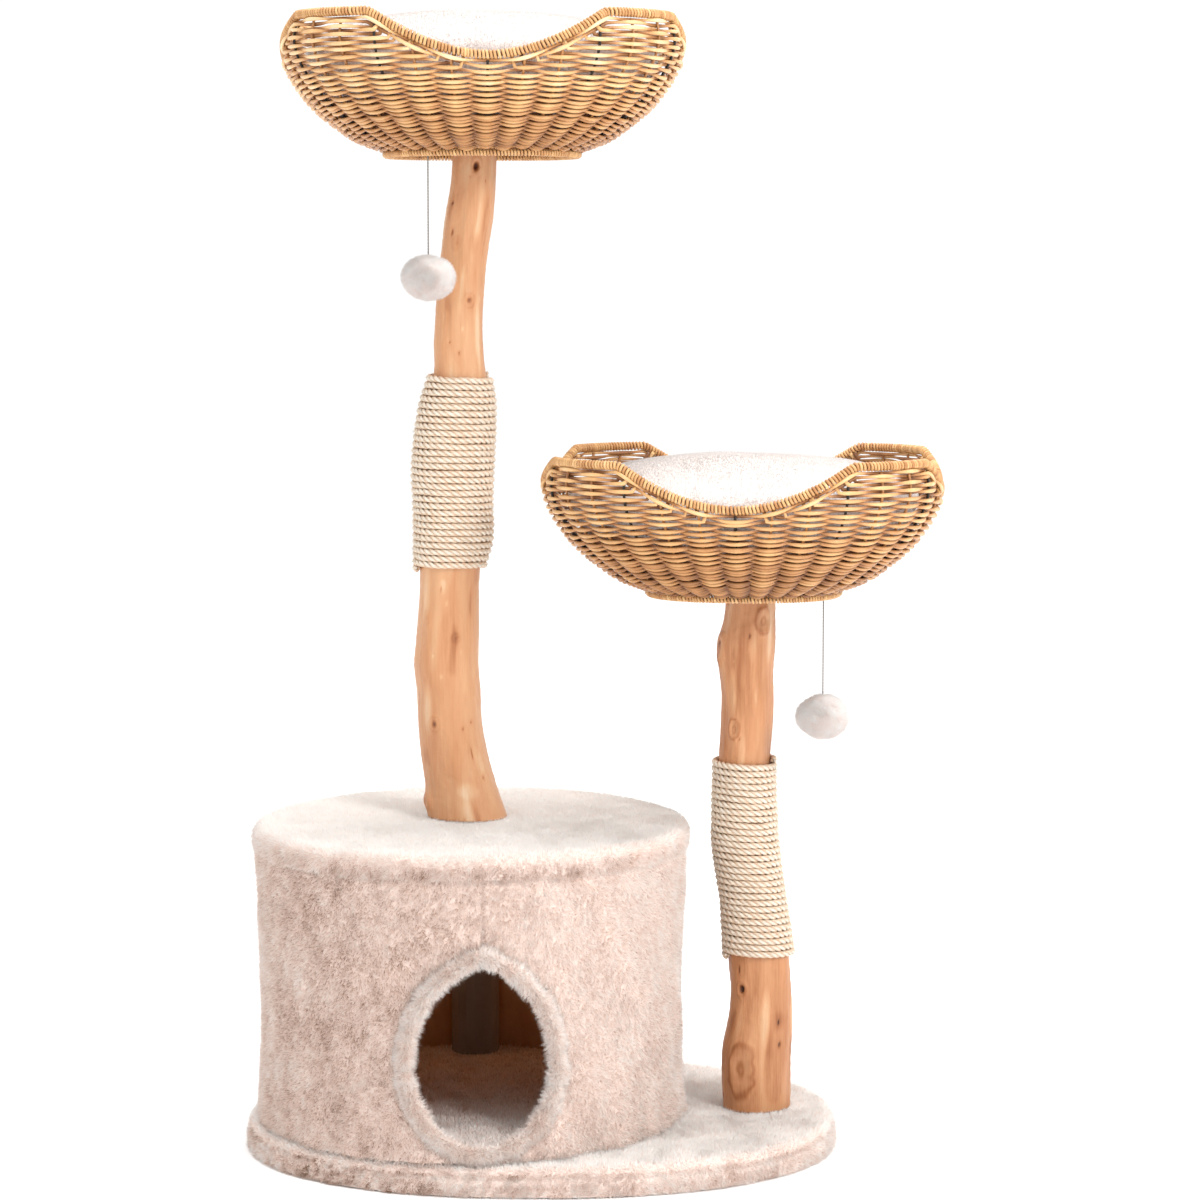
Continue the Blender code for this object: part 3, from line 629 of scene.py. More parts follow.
def rim_share(angle):
    """Height of the rim at an angle, as a share of the wall's full height."""
    x, y = superellipse(angle, RIM_POWER)
    plan = OUTLINE_HALF[-1]
    front = np.clip(1 - (x * plan / FRONT_DIP_HALF) ** 2, 0, None)
    side = np.clip(1 - (y * plan * BASKET_DEPTH / SIDE_DIP_HALF) ** 2, 0, None)
    return np.maximum(FRONT_DIP * front ** 1.15, SIDE_DIP * side ** 1.15)


class Basket:
    """The wall's surface: a superellipse that grows from the hoop to the rim."""

    def __init__(self, level):
        low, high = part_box(f"{level}_basket_hoop")
        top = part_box(f"{level}_basket_rim")[1].z
        self.x, self.y, self.z = (low.x + high.x) / 2, (low.y + high.y) / 2, low.z
        self.span = top - low.z - BASKET_FLOOR - 2 * RIM_RADIUS - RIM_CLEARANCE
        self.cos, self.sin = math.cos(TURNS[level]), math.sin(TURNS[level])
        self.tone = {"upper": 0.15, "lower": 0.06}[level]
        self.stake_angle = np.linspace(-PI / 2, 1.5 * PI, 2881)
        run = running(step_lengths(self.wall(self.stake_angle, 0.6)))
        self.stake_run = run / run[-1] * STAKES
        self.profile_share = np.linspace(0, 1, 400)
        half = through(OUTLINE_SHARE, OUTLINE_HALF, self.profile_share)
        self.profile = running(np.hypot(np.diff(half), np.diff(self.profile_share) * self.span))

    def angle(self, stake):
        """Angle of a position counted in stakes from the middle of the front."""
        return np.interp(np.mod(stake, STAKES), self.stake_run, self.stake_angle)

    def place(self, x, y, z):
        return xyz(self.x + x * self.cos - y * self.sin, self.y + x * self.sin + y * self.cos, self.z + z)

    def floor_place(self, angle, share, z):
        """Points of the floor's outline, shrunk to a share of its size."""
        x, y = superellipse(angle, FLOOR_POWER)
        return self.place(x * share * HOOP_HALF[0], y * share * HOOP_HALF[1], z)

    def wall(self, angle, share, out=0.0):
        """Points on the middle of the wall, moved outward by out along its normal."""
        angle, share = np.broadcast_arrays(np.asarray(angle, float), np.asarray(share, float))
        half = through(OUTLINE_SHARE, OUTLINE_HALF, clamp(share)) - BASKET_WALL / 2
        x, y = superellipse(angle, FLOOR_POWER + (RIM_POWER - FLOOR_POWER) * share)
        points = self.place(x * half, y * half * BASKET_DEPTH, BASKET_FLOOR + share * self.span)
        if np.ndim(out) or out:
            points = points + self.normal(angle, share) * np.asarray(out)[..., None]
        return points

    def normal(self, angle, share):
        step = 0.004
        along = self.wall(angle + step, share) - self.wall(angle - step, share)
        upward = self.wall(angle, clamp(share + step)) - self.wall(angle, clamp(share - step))
        return unit(np.cross(along, upward))

    def rim(self, angle):
        return 1 - rim_share(angle) / self.span


def build_rows(basket, seed):
    """Weaving canes: level rows that go in front of and behind the stakes by turns."""
    rng = np.random.default_rng(seed)
    stake = np.arange(STAKES * PER_STAKE) / PER_STAKE
    angle = basket.angle(stake)
    rim = basket.rim(angle)
    reach = STAKE_RADIUS + CANE_RADIUS
    pitch = RIM_PITCH / basket.span
    parts = []

    def add_row(level, index, margin):
        """One row, cut where it meets the rim; its ends are tucked in under the rim's wrapping."""
        weave = np.cos(PI * (stake + index))
        weave = np.sign(weave) * np.abs(weave) ** 0.8
        # painted shade: rows are painted darker lower down the wall, and darker where they pass behind a
        # stake than on their crowns
        high = clamp(np.minimum(level, rim) / 0.7)
        tone = basket.tone + 0.07 * rng.normal() + 0.32 * weave + 0.44 * high
        radius = CANE_RADIUS * (0.84 + 0.42 * weave ** 2)
        inside = level < rim - margin - 1e-6
        if inside.all():
            path = basket.wall(angle, level, reach * weave)
            parts.append(tube(path, radius, basket.normal(angle, level), 8, closed=True, tone=tone))
            return
        count = len(angle)
        for start in range(count):
            if not inside[start] or inside[start - 1]:
                continue
            length = 1
            while inside[(start + length) % count]:
                length += 1
            if length < PER_STAKE:
                continue
            run = np.arange(start - 1, start + length + 1) % count
            share = np.minimum(level[run], rim[run])
            share[[0, -1]] = rim[run][[0, -1]] + 0.004 / basket.span
            share = np.minimum(share, 1.0)
            out = reach * weave[run] * 0.9
            out[[0, -1]] = -1.5 * reach
            path = basket.wall(angle[run], share, out)
            parts.append(tube(path, radius[run], basket.normal(angle[run], share), 8, tone=tone[run]))

    run, index = FIRST_ROW, 0
    while run < basket.profile[-1]:
        share = np.interp(run, basket.profile, basket.profile_share)
        run += 0.003 + 0.001 * clamp((share - 0.35) / 0.3)
        index += 1
        waver = noise(xyz(np.cos(angle), np.sin(angle), share * 9), 0.35, seed)
        level = share + 0.0006 / basket.span * rng.normal() + 0.0008 / basket.span * waver
        add_row(level, index, 1.9 * pitch)
    for follow in (0.15, 1.15):
        index += 1
        add_row(rim - follow * pitch, index, 0.0)
    return parts


def build_stakes(basket, which, radius):
    """Upright canes or wires from the hoop up to the rim."""
    parts = []
    for number in which:
        angle = float(basket.angle(number))
        top = float(basket.rim(np.array([angle]))[0])
        share = np.linspace(0.0, top, 26)
        path = basket.wall(np.full(26, angle), share)
        foot = basket.floor_place(np.array([angle]), 1.0, HOOP_RADIUS)
        inner = basket.floor_place(np.array([angle]), 0.8, BASKET_FLOOR - 0.001)
        path = np.concatenate([inner, foot + [[0, 0, 0.004]], path[1:]])
        out = basket.normal(np.full(len(path), angle), np.linspace(0, top, len(path)))
        parts.append(tube(path, radius, out, 8, tone=0.42 + 0.06 * math.sin(7 * number)))
    return join(parts)


def wrap(path, samples, core, strand, pitch, seed):
    """A hoop: a core with a strand wound round it side by side."""
    path, length = resample(path, samples)
    count = len(path)
    turns = round(length / pitch)
    t = np.arange(turns * 9) / (turns * 9)
    speed = 0.35 / turns * noise(xyz(t * turns / 3, 0, seed), 1.0, seed)
    where = np.mod(t + speed, 1.0) * count
    loop = np.concatenate([path, path[:1]])
    centre = read_along(where, np.arange(count + 1), loop)
    ahead = unit(np.roll(path, -3, 0) - np.roll(path, 3, 0))
    ahead = unit(read_along(where, np.arange(count), ahead))
    side = unit(np.cross(ahead, UP))
    lift = np.cross(side, ahead)
    phase = TAU * turns * t
    out = np.cos(phase)[:, None] * lift + np.sin(phase)[:, None] * side
    tone = 0.64 + 0.22 * noise(xyz(t * turns * 1.3, 0, 0), 1.0, seed + 1)
    wound = tube(centre + out * (core + strand * 0.85), strand, out, closed=True, tone=tone)
    # painted shade: the core is given the darkest cane tone, to show as dark gaps between the wraps
    return join([wound, tube(path, core, UP, 8, closed=True, tone=0.0)])


def build_floor_weave(basket):
    """Flat weave across the basket's floor, round a ring of radial canes."""
    parts = []
    stake = np.arange(SPOKES * PER_STAKE) / PER_STAKE
    angle = TAU * stake / SPOKES
    level = BASKET_FLOOR + BASKET_WALL / 2
    for index, share in enumerate(np.arange(0.24, 1.0, 0.042)):
        weave = np.cos(PI * (stake + index))
        path = basket.floor_place(angle, share, level - 0.0027 * weave)
        # painted shade: the cane is painted darker where it dips under a spoke
        parts.append(tube(path, CANE_RADIUS, UP, closed=True, tone=0.45 + 0.1 * weave))
    for spoke in circle(SPOKES):
        path = basket.floor_place(np.full(6, spoke), np.linspace(0.2, 1.02, 6), level)
        parts.append(tube(path, STAKE_RADIUS, UP, tone=0.4))
    return join(parts)


def build_basket(level):
    basket = Basket(level)
    seed = 11 if level == "upper" else 23

    def woven(part, shape, node=None, paint=cane):
        """A piece of the basket; it takes the place of the CAD's node, if one is named."""
        replaced = [f"{level}_basket_{node}"] if node else ()
        piece(f"{level}_basket_{part}", shape, paint, replaces=replaced)

    rows = build_rows(basket, seed)
    size = np.cumsum([len(points) for points, _, _ in rows])
    middle = int(np.searchsorted(size, size[-1] / 2))
    woven("rows_low", join(rows[:middle]), "weave")
    woven("rows_high", join(rows[middle:]))
    woven("stakes", build_stakes(basket, [number for number in range(STAKES) if number % 3], STAKE_RADIUS))
    woven("wires", build_stakes(basket, range(0, STAKES, 3), STAKE_RADIUS), paint=dark_wire)
    woven("floor", build_floor_weave(basket))
    angle = np.linspace(-PI, PI, 1440, endpoint=False)
    rim = basket.wall(angle, basket.rim(angle)) + UP * (RIM_RADIUS + RIM_CLEARANCE)
    woven("rim_wrap", wrap(rim, 1600, 0.0022, 0.00166, 0.0039, seed), "rim")
    hoop = basket.floor_place(angle, 1.0, HOOP_RADIUS)
    woven("hoop_wrap", wrap(hoop, 800, 0.0016, 0.00155, 0.0036, seed + 1), "hoop")


CUSHION_POWER = 2.4
CUSHION_EDGE = 0.62             # height of the sewn edge, as a share of the cushion's
CUSHION_SHARE = (0.0, 0.05, 0.22, 0.45, CUSHION_EDGE)
CUSHION_HALF = (0.1, 0.124, 0.16, 0.186, 0.192)


def build_cushion(level):
    """A full crowned cushion with a sewn edge and short pile."""
    low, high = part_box(f"{level}_cushion")
    centre, height = (low + high) / 2, high.z - low.z
    cos, sin = math.cos(TURNS[level]), math.sin(TURNS[level])
    seed = 31 if level == "upper" else 37
    under = np.linspace(0.0, CUSHION_EDGE, 44)
    above = CUSHION_EDGE + (1 - CUSHION_EDGE) * np.sin(np.linspace(0, PI / 2, 60)[1:])
    dome = clamp(1 - ((above - CUSHION_EDGE) / (1 - CUSHION_EDGE)) ** 2.0)
    dome = np.sqrt(dome) ** 0.95 * CUSHION_HALF[-1]
    share = np.concatenate([[0.0], under, above])
    half = np.concatenate([[0.002], through(CUSHION_SHARE, CUSHION_HALF, under), dome])
    x, y = superellipse(circle(260), CUSHION_POWER)
    px, py = half[:, None] * x[None], half[:, None] * y[None] * BASKET_DEPTH
    z = low.z + share[:, None] * height
    points = xyz(centre.x + px * cos - py * sin, centre.y + px * sin + py * cos, z)
    edge = bell((share - CUSHION_EDGE) / 0.1)[:, None]
    pucker = edge * 0.0022 * (noise(points * [1, 1, 0.15], 0.012, seed) - 0.4)
    soft = 0.0016 * noise(points, 0.05, seed + 1) + 0.0008 * noise(points, 0.02, seed + 2) - 0.003
    soft += 0.005 * noise(points * [1, 1, 0], 0.13, seed + 3) * clamp((share - 0.55) / 0.3)[:, None]
    outward = unit(points - np.array([centre.x, centre.y, low.z + 0.35 * height]))
    points = points + outward * (pucker + soft)[..., None]
    # painted shade: the cover is painted dark brown up to about a fifth of its height, fading to pale by a
    # third, so the basket's lower gaps look dark
    shape = grid(points, tone=0.6 * clamp((share - 0.22) / 0.12)[:, None])
    body = f"{level}_cushion"
    cushion = piece(f"{level}_cushion_cover", shape, cushion_plush, body, [body])
    floor = low.z + 0.3 * height

    def strands(roots, normals):
        # painted light: the pile is painted lighter on the sides, in the basket's shade, and darker on top,
        # under the strong top light
        shade = 0.03 * noise(roots, 0.03, seed + 5) + 0.15 - 0.18 * clamp(normals[:, 2])
        return dict(lean=1.2 * swirl(roots, 0.06, seed), shade=shade)

    grow(f"{level}_cushion_pile", shape, CUSHION_PILE, (seed, seed + 20), (seed, seed + 1), strands,
         lambda p: p[:, 2] < floor, cushion_pile, "cushion", body, grain=0.03)


for level in ("upper", "lower"):
    build_basket(level)
    build_cushion(level)


# ---------------- posts

class Post:
    """Centre line and radius of a branch, read from its CAD sections."""

    def __init__(self, node):
        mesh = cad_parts[node].data
        points = np.empty(len(mesh.vertices) * 3)
        mesh.vertices.foreach_get("co", points)
        points = np.unique(np.round(points.reshape(-1, 3), 5), axis=0)
        rows = []
        for z in np.unique(np.round(points[:, 2], 4)):
            ring = points[np.abs(points[:, 2] - z) < 0.0001]
            middle = (ring.max(0) + ring.min(0)) / 2
            far = np.hypot(*(ring - middle)[:, :2].T) > BORE_REACH
            if far.sum() >= LEAST_RING:
                ring = ring[far]
                middle = ring.mean(0)
                rows.append((z, middle[0], middle[1], np.hypot(*(ring - middle)[:, :2].T).mean()))
        self.z, self.x, self.y, self.r = np.array(rows).T

    def at(self, z):
        return (through(self.z, self.x, z), through(self.z, self.y, z), through(self.z, self.r, z))


# height in metres, angle in degrees, half width and half height in millimetres, kind
TALL_KNOTS = [
    (1.078, -84, 5.2, 9.2, "hole"), (1.067, -97, 1.5, 2, "pit"), (1.061, -58, 1.6, 2.6, "pit"),
    (0.995, -112, 6, 7, "ring"), (0.933, -66, 6.5, 7.5, "knot"), (0.915, -116, 4, 26, "streak"),
    (0.887, -112, 1.6, 2.2, "pit"), (1.035, -50, 4, 20, "streak"), (0.62, -97, 7, 13.5, "pale"),
    (0.618, -101, 1.2, 6, "pit"), (0.564, -71, 5, 5, "ring"), (0.586, -128, 4, 7, "ring"),
    (0.468, -117, 7, 8, "knot"), (0.463, -66, 1.8, 5, "pit"), (0.47, -47, 2.4, 3.6, "pit"),
    (0.436, -55, 1.8, 12, "pit"), (0.408, -44, 3, 5, "pit"), (0.38, -162, 8, 8.5, "stub"),
    (0.504, -12, 10, 16, "ring"), (0.395, -80, 20, 16, "pale"), (0.99, 70, 10, 14, "ring"),
    (0.5, 80, 12, 20, "knot"), (0.9, 120, 6, 10, "ring"), (0.43, 130, 6, 10, "pale")]
SHORT_KNOTS = [
    (0.082, -116, 14, 27, "big"), (0.172, -131, 6, 8, "hole"), (0.583, -58, 10, 14, "big"),
    (0.552, -165, 10, 16, "stub"), (0.463, -124, 7, 11, "big"), (0.13, 60, 12, 20, "knot"),
    (0.52, 90, 10, 14, "knot"), (0.11, -50, 3, 6, "pit"), (0.53, -110, 3, 25, "streak"),
    (0.1, -70, 4, 26, "streak"), (0.5, -75, 3, 18, "pale")]

# what each kind of mark does: (rise in metres, change of tone) for each of its fields
MARKS = {"hole": {"bump": (0.0016, 0.1), "ridge": (0.0006, -0.12), "pit": (-0.006, -0.8)},
         "knot": {"bump": (0.0022, 0.12), "ridge": (0.0003, -0.1), "pit": (-0.0012, -0.46),
                  "rings": (0.0, 0.05)},
         "ring": {"bump": (0.0014, 0.0), "ridge": (0.0, -0.09), "pit": (-0.0004, -0.14)},
         "big": {"bump": (0.001, 0.3), "ridge": (0.0012, -0.3), "pit": (-0.0014, -0.34),
                 "rings": (0.0, 0.08)},
         "stub": {"bump": (0.0062, 0.1), "ridge": (0.0004, -0.16), "pit": (-0.002, -0.25)},
         "streak": {"bump": (-0.0003, -0.15)},
         "pale": {"bump": (-0.0004, 0.05), "pit": (-0.0002, 0.22)},
         "pit": {"bump": (-0.0002, -0.1), "pit": (-0.001, -0.36)}}


def post_swell(angle, z):
    """The three lengthwise swells of a branch, as a share of its radius."""
    return 0.03 * np.cos(3 * angle + 9.0 * z)


def small_marks(post, seed, count=46):
    """Little pits and pale nicks scattered over a whole branch."""
    rng = np.random.default_rng(seed)
    return [(rng.uniform(post.z[0], post.z[-1]), rng.uniform(-180, 180), rng.uniform(1.0, 2.6),
             rng.uniform(1.6, 7.0), "pit" if rng.random() < 0.6 else "pale") for _ in range(count)]


def build_post(node, post, knots, seed, pale):
    """A peeled branch: lengthwise swells and ripples, knots, rings and pits."""
    z = np.linspace(post.z[0], post.z[-1], int((post.z[-1] - post.z[0]) / POST_STEP))[:, None]
    angle = circle(POST_COLUMNS)[None]
    x, y, r = (value + 0 * angle for value in post.at(z))
    z = z + 0 * angle
    outward = xyz(np.cos(angle), np.sin(angle), 0 * z)
    on = outward * 0.035 + xyz(0, 0, z)
    rise = post_swell(angle, z) * r
    rise += 0.0013 * noise(on * [1, 1, 0.35], 0.022, seed)
    rise += 0.0006 * noise(on * [1, 1, 0.25], 0.008, seed + 1)
    rise += 0.0003 * noise(on, 0.004, seed + 2) - 0.0004
    tone = pale + 0.1 * noise(on * [1, 1, 0.3], 0.03, seed + 3)
    tone += 0.07 * noise(on * [1, 1, 0.12], 0.007, seed + 4)
    tone += 0.7 * np.clip(noise(on * [1, 1, 0.22], 0.013, seed + 6) - 0.25, 0, 0.5)
    tone -= 0.4 * np.clip(noise(on * [1, 1, 0.3], 0.01, seed + 7) - 0.38, 0, 0.5)
    for height, degrees, half_width, half_height, kind in knots + small_marks(post, seed):
        across = signed(angle - math.radians(degrees)) * r
        wobble = 0.18 * noise(on, 0.008, seed + 9)
        far = np.hypot(across / (half_width * MM), (z - height) / (half_height * MM)) + wobble
        bump = bell(far / 1.25)
        fields = {"bump": bump, "ridge": bell((far - 1.0) / 0.28), "pit": np.exp(-(far / 0.55) ** 4),
                  "rings": np.cos(far * 14) * bump}
        for field, (height_change, tone_change) in MARKS[kind].items():
            rise += height_change * fields[field]
            tone += tone_change * fields[field]
    points = xyz(x, y, z) + outward * (r + rise)[..., None]
    shape = grid(points, tone, ends=(points[[0, -1]].mean(1), [0.5, 0.5]))
    piece(f"{node}_wood", shape, wood, replaces=[node])
    return post


def build_rope(node, post, seed):
    """Three-strand sisal rope wound tightly round a post, with loose fibres."""
    low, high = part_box(f"{node}_rope")
    rng = np.random.default_rng(seed)
    turns = (high.z - low.z - ROPE) / ROPE
    start, end = low.z + ROPE / 2, high.z - ROPE / 2
    mean_turn = TAU * (float(post.at((start + end) / 2)[2]) + ROPE / 2)
    count = int(turns * mean_turn / ROPE_LAY * PER_LAY)
    t = np.arange(count) / (count - 1)
    z = start + (end - start) * t
    x, y, r = post.at(z)
    angle = ROPE_START - TAU * turns * t
    outward = xyz(np.cos(angle), np.sin(angle), 0)
    swell = post_swell(angle, z) * r
    wander = xyz(6 * np.cos(angle), 6 * np.sin(angle), z * 300)
    z = z + 0.0007 * noise(wander, 3.0, seed)
    reach = r + swell + ROPE / 2 + 0.0004 * noise(wander, 1.5, seed + 1)
    centre = xyz(x, y, z) + outward * reach[:, None]
    ahead = unit(np.gradient(centre, axis=0))
    side = unit(np.cross(ahead, outward))
    twist = TAU * np.cumsum(np.linalg.norm(np.gradient(centre, axis=0), axis=1)) / ROPE_LAY
    parts = []
    for strand in range(3):
        phase = twist + TAU * strand / 3
        out = np.cos(phase)[:, None] * outward + np.sin(phase)[:, None] * side
        streak = noise(xyz(twist * 0.7, 5 * strand, 0), 1.0, seed + strand)
        # painted light: each strand is painted lighter where it faces out from the post and darker where it
        # turns into the grooves
        tone = 0.22 + 0.18 * streak + 0.62 * clamp(2 * np.cos(phase) - 1)
        parts.append(tube(centre + out * STRAND_OFFSET, STRAND_RADIUS, out, tone=tone))
    piece(f"{node}_sisal", join(parts), sisal, replaces=[f"{node}_rope"])
    pick = rng.integers(20, count - 20, SISAL_FIBRES)
    away = unit(outward[pick] + 0.5 * rng.normal(size=(SISAL_FIBRES, 3)))
    roots = centre[pick] + away * ROPE * 0.4
    lean = ahead[pick] * rng.choice([-1.0, 1.0], (SISAL_FIBRES, 1)) * 1.6
    fibres = fur(roots, outward[pick], lean, 0.007, 0.00034, seed, shade=0.15, splay=0.8)
    piece(f"{node}_sisal_fibres", fibres, sisal)


tall, short = Post("tall_post"), Post("short_post")
build_post("tall_post", tall, TALL_KNOTS, 41, 0.48)
# the short post's wood is set darker: partly darker wood, partly painted shade from the lower basket above
# it
build_post("short_post", short, SHORT_KNOTS, 47, 0.3)
build_rope("tall_post", tall, 53)
build_rope("short_post", short, 59)


# ---------------- plush

def door_arc(offset):
    """Radius of the doorway's arcs, moved outward by offset, and how far their middles lie past its own."""
    arc = (DOOR_HALF_WIDTH ** 2 + DOOR_RISE ** 2) / (2 * DOOR_HALF_WIDTH)
    return arc + offset, arc - DOOR_HALF_WIDTH


def door_outline(offset, count):
    """The doorway's edge, a pointed arch over half an ellipse, moved outward by offset."""
    reach, shift = door_arc(offset)
    t = np.linspace(0, math.acos(shift / reach), count)
    right = np.stack([reach * np.cos(t) - shift, DOOR_WIDE_Z + reach * np.sin(t)], -1)
    left = (right * [-1, 1])[::-1][1:]
    t = np.linspace(PI, TAU, count)[1:-1]
    half_width, drop = DOOR_HALF_WIDTH + offset, DOOR_DROP + offset
    below = np.stack([half_width * np.cos(t), DOOR_WIDE_Z + drop * np.sin(t)], -1)
    return np.concatenate([right, left, below])


def in_doorway(across, z, offset):
    """Whether points of the unrolled wall lie inside the doorway's edge."""
    reach, shift = door_arc(offset)
    z = z - DOOR_WIDE_Z
    upper = (z >= 0) & (np.hypot(np.abs(across) + shift, z) < reach)
    return upper | (z < 0) & (np.hypot(across / (DOOR_HALF_WIDTH + offset), z / (DOOR_DROP + offset)) < 1)


def across_wall(turn):
    """Distance round the wall from the middle of the doorway, to the right, at an angle about the condo."""
    return signed(turn - DOOR_ANGLE) * min(WALL_RADII)


def on_condo(angle, radius, z):
    return xyz(CONDO_CENTRE[0] + radius * np.cos(angle), CONDO_CENTRE[1] + radius * np.sin(angle), z)


def wall_sheet(inset, low, high, columns, rows, wrinkle, hole):
    """Points of the condo wall, with its cells inside the doorway left out."""
    angle = circle(columns)[None] - 1.5 * PI
    z = np.linspace(low, high, rows)[:, None]
    share = (z - low) / (high - low)
    radius = through(WALL_SHARES, WALL_RADII, share) - inset + 0 * angle
    z = z + 0 * angle
    across = across_wall(angle) + 0 * z
    flat = xyz(across, z, 0)
    slant = xyz(across + 0.45 * z, z * 0.22 - 0.1 * across, 0)
    folds = 0.005 * noise(slant, 0.034, 61) * np.clip(0.45 + across / 0.25, 0.25, 1.0)
    folds += 0.0028 * noise(flat, 0.09, 62) + 0.0012 * noise(flat, 0.025, 63)
    top = np.exp(-(high - z) / 0.022)
    foot = np.exp(-(z - low) / 0.02)
    folds += 0.0042 * top * noise(flat * [1, 0.25, 1], 0.016, 64) - 0.0042 * bell((high - z) / 0.008)
    folds += 0.0026 * foot * noise(flat * [1, 0.25, 1], 0.02, 65)
    seam = bell((across - 0.002) / 0.0035) * (z > DOOR_WIDE_Z + DOOR_RISE)
    folds -= 0.0022 * seam
    radius = radius + wrinkle * folds
    cell_across = across[:-1] + 0.5 * TAU * min(WALL_RADII) / columns
    cell_z = z[:-1] + 0.5 * (high - low) / (rows - 1)
    return on_condo(angle, radius, z), ~in_doorway(cell_across, cell_z, hole)


def build_wall():
    low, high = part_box("condo_wall")
    low, high = low.z + 0.0005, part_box("condo_top_cover")[0].z + 0.004
    points, keep = wall_sheet(0.0015, low, high, 620, 130, 1.0, HEM_RADIUS)
    shape = grid(points, keep=keep)
    wall = piece("condo_wall_fabric", shape, plush, replaces=["condo_wall"])

    def strands(roots, normals):
        lean = DOWN * (0.7 + 0.3 * noise(roots, 0.06, 71))[:, None] + 0.6 * swirl(roots, 0.026, 73) \
            + 0.35 * swirl(roots, 0.008, 79)
        turn = np.arctan2(roots[:, 1] - CONDO_CENTRE[1], roots[:, 0] - CONDO_CENTRE[0])
        left = 1 / (1 + np.exp((across_wall(turn) - 0.01) / 0.012))
        # painted shade: the panel left of the seam is painted darker, and its painted sheen stronger
        shade = (0.7 + 0.6 * left) * painted_sheen(roots, 75) - 0.04 - 0.12 * left
        return dict(lean=lean, shade=shade)

    hair = grow("condo_wall_pile", shape, WALL_PILE, (70, 71, 72), (77, 78, 79), strands,
                splay=0.5, grain=0.12)
    floor_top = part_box("condo_floor_cover")[1].z
    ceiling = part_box("condo_top_board")[0].z
    points, keep = wall_sheet(0.0062, floor_top - 0.012, ceiling - 0.0005, 360, 60, 0.6, 0.0085)
    shape = grid(points[:, ::-1], keep=np.roll(keep[:, ::-1], -1, 1))
    # the lining inside, painted orange-brown as glow through the fabric
    inner = piece("condo_lining", shape, lining_painted_glow)


def build_hem():
    """The doorway's rolled edge."""
    edge = door_outline(HEM_RADIUS + HEM_SHIFT, 60)
    path = on_condo(DOOR_ANGLE + edge[:, 0] / min(WALL_RADII), min(WALL_RADII) + 0.0015, edge[:, 1])
    path = resample(path, 300)[0]
    out = np.array([math.cos(DOOR_ANGLE), math.sin(DOOR_ANGLE), 0.0])
    lump = 1 + 0.2 * noise(path, 0.012, 81) + 0.1 * noise(path, 0.005, 82)
    shape = tube(path, (HEM_RADIUS - 0.002) * lump, out, 16, closed=True)
    piece("doorway_hem_roll", shape, plush, replaces=["doorway_hem"])
    roots, _ = scatter(shape, HEM_PILE[0], 83)
    middle = path.mean(0)
    nearest = np.argmin(np.linalg.norm(roots[:, None, :] - path[None, ::4], axis=-1), axis=1) * 4
    lean = 0.25 * DOWN + 0.6 * swirl(roots, 0.01, 85) - 0.3 * unit(middle - roots) - 0.2 * out
    length = HEM_PILE[1] * (1 + 0.4 * noise(roots, 0.009, 89))[:, None]
    shade = painted_sheen(roots, 88) + 0.02
    outward = unit(roots - path[nearest])
    spikes = fur(roots, outward, lean, length, HEM_PILE[2], 87, shade=shade, splay=0.8, grain=0.12)
    piece("doorway_hem_pile", spikes, pile)


def cap_rings(half, power, bottom, top, edge, centre, columns, inner_rings):
    """A cover over a board: its top from the middle out, the rounded edge, and its side."""
    half_x, half_y = half
    x, y = superellipse(circle(columns), power)
    rings = [((half_x - edge) * s, (half_y - edge) * s, top) for s in np.linspace(0.004, 1, inner_rings)]
    for turn in np.radians(np.linspace(0, 90, 9))[1:]:
        inset = edge * (1 - math.sin(turn))
        rings.append((half_x - inset, half_y - inset, top - edge * (1 - math.cos(turn))))
    rings += [(half_x, half_y, z) for z in np.linspace(top - edge, bottom, 10)[1:]]
    return np.array([xyz(centre[0] + x * a, centre[1] + y * b, z) for a, b, z in rings])


def build_top_cover():
    low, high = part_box("condo_top_cover")
    half = (high.x - low.x) / 2
    points = cap_rings((half - 0.003, half - 0.003), 2.0, low.z + 0.0005, high.z - PILE_ROOM, 0.011,
                       CONDO_CENTRE, 360, 90)
    seam = bell((points[..., 2] - low.z) / 0.006)
    outward = unit((points - [*CONDO_CENTRE, 0]) * [1, 1, 0])
    points = points + UP * (0.001 * noise(points, 0.05, 91) + 0.0005 * noise(points, 0.015, 92))[..., None]
    points = points + outward * (seam * (0.0016 * noise(points, 0.018, 93) - 0.0012))[..., None]
    shape = grid(points[::-1], tone=0.62)
    cover = piece("condo_top_fabric", shape, plush, replaces=["condo_top_cover"])
    foot = np.array([tall.x[0], tall.y[0]])

    def strands(roots, normals):
        flat = normals[:, 2:3]
        lean = 0.6 * swirl(roots, 0.03, 96) + 0.4 * swirl(roots, 0.01, 99) + 0.5 * DOWN * (1 - flat)
        # painted light: the level top is painted lighter than the rounded edge, as if lit from above
        shade = (0.3 + (1 - flat[:, 0])) * painted_sheen(roots, 98) - 0.08 + 0.36 * flat[:, 0]
        return dict(lean=lean, length=TOP_PILE[1] + 0.0026 * (1 - flat), shade=shade)

    hair = grow("condo_top_pile", shape, TOP_PILE, (95, 96), (97, 98), strands,
                lambda p: near(p, foot, 0.041))


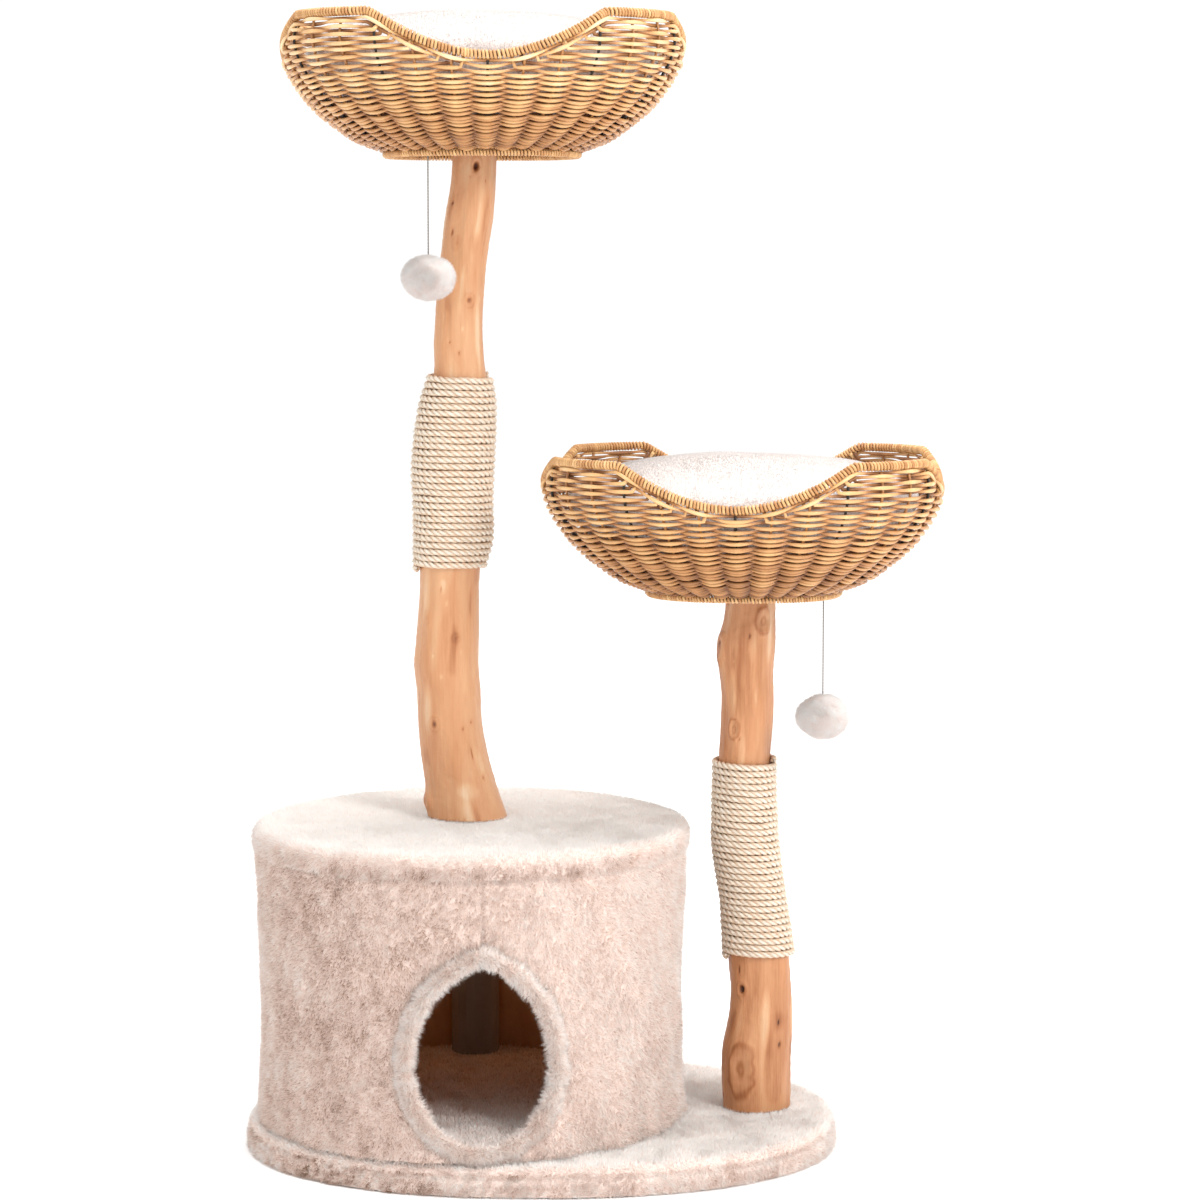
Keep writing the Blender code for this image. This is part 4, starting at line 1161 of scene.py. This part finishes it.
def build_base_cover():
    low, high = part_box("base_cover")
    half = (BASE_HALF[0] - 0.003, BASE_HALF[1] - 0.003)
    points = cap_rings(half, BASE_POWER, 0.0008, high.z - PILE_ROOM, 0.01, (0, 0), 420, 90)
    outward = unit(points * [1, 1, 0])
    ridge = bell((points[..., 2] - 0.021) / 0.0035)
    side = points[..., 2] < high.z - 0.012
    points = points + outward * (0.0012 * noise(points, 0.03, 101) * side - 0.0016 * ridge)[..., None]
    points = points + UP * (~side * 0.0009 * noise(points, 0.04, 102))[..., None]
    shape = grid(points[::-1], tone=0.58)
    cover = piece("base_fabric", shape, plush, replaces=["base_cover"])
    foot = np.array([short.x[0], short.y[0]])

    def strands(roots, normals):
        flat = normals[:, 2]
        side = 1 - clamp(flat)
        left = side * clamp(0.3 - roots[:, 0] / 0.25)
        lean = 0.7 * swirl(roots, 0.025, 106) + 0.5 * swirl(roots, 0.009, 109)
        lean = lean + 0.45 * DOWN * (1 - flat[:, None]) + (1.4 * left)[:, None] * swirl(roots, 0.006, 117)
        # painted light and shade: the level top is painted lighter than the side, as if lit from above, and
        # the left of the side darker, with stronger painted sheen
        shade = (0.4 + 1.0 * side + 1.6 * left) * painted_sheen(roots, 108) + 0.24 - 0.3 * side - 0.12 * left
        return dict(lean=lean, shade=shade)

    hair = grow("base_pile", shape, BASE_PILE, (105, 106), (107, 108), strands,
                lambda p: near(p, CONDO_CENTRE, 0.225) | near(p, foot, 0.036), lowest=0.0003)


def build_floor_cover():
    low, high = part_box("condo_floor_cover")
    half = (high.x - low.x) / 2
    points = cap_rings((half - 0.001, half - 0.001), 2.0, low.z + 0.001, high.z - PILE_ROOM, 0.006,
                       CONDO_CENTRE, 220, 50)
    points = points + UP * (0.0006 * noise(points, 0.03, 111))[..., None]
    shape = grid(points[::-1], tone=0.5)
    cover = piece("condo_floor_fabric", shape, plush, replaces=["condo_floor_cover"])

    def strands(roots, _):
        # painted light: the pile is painted lighter towards the doorway, where light falls in, and darker
        # at the back
        front = np.clip((-0.09 - roots[:, 1]) / 0.04, -1, 1)
        return dict(lean=0.7 * swirl(roots, 0.02, 114), shade=0.5 * painted_sheen(roots, 116) + 0.2 * front)

    hair = grow("condo_floor_pile", shape, FLOOR_PILE, [113], [115], strands,
                lambda p: p[:, 2] < high.z - 0.006)


build_wall()
build_hem()
build_top_cover()
build_base_cover()
build_floor_cover()


# ---------------- CAD nodes that stay

KEPT = {"board": board, "disc": board, "plug": board, "condo_tube": paper, "tube_cover": tube_cloth,
        "bolt": steel, "washer": steel}


def paint_kept_nodes():
    for name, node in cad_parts.items():
        if node.hide_render:
            continue
        for word, paint in KEPT.items():
            if word in name:
                node.data.materials.clear()
                node.data.materials.append(paint)


paint_kept_nodes()
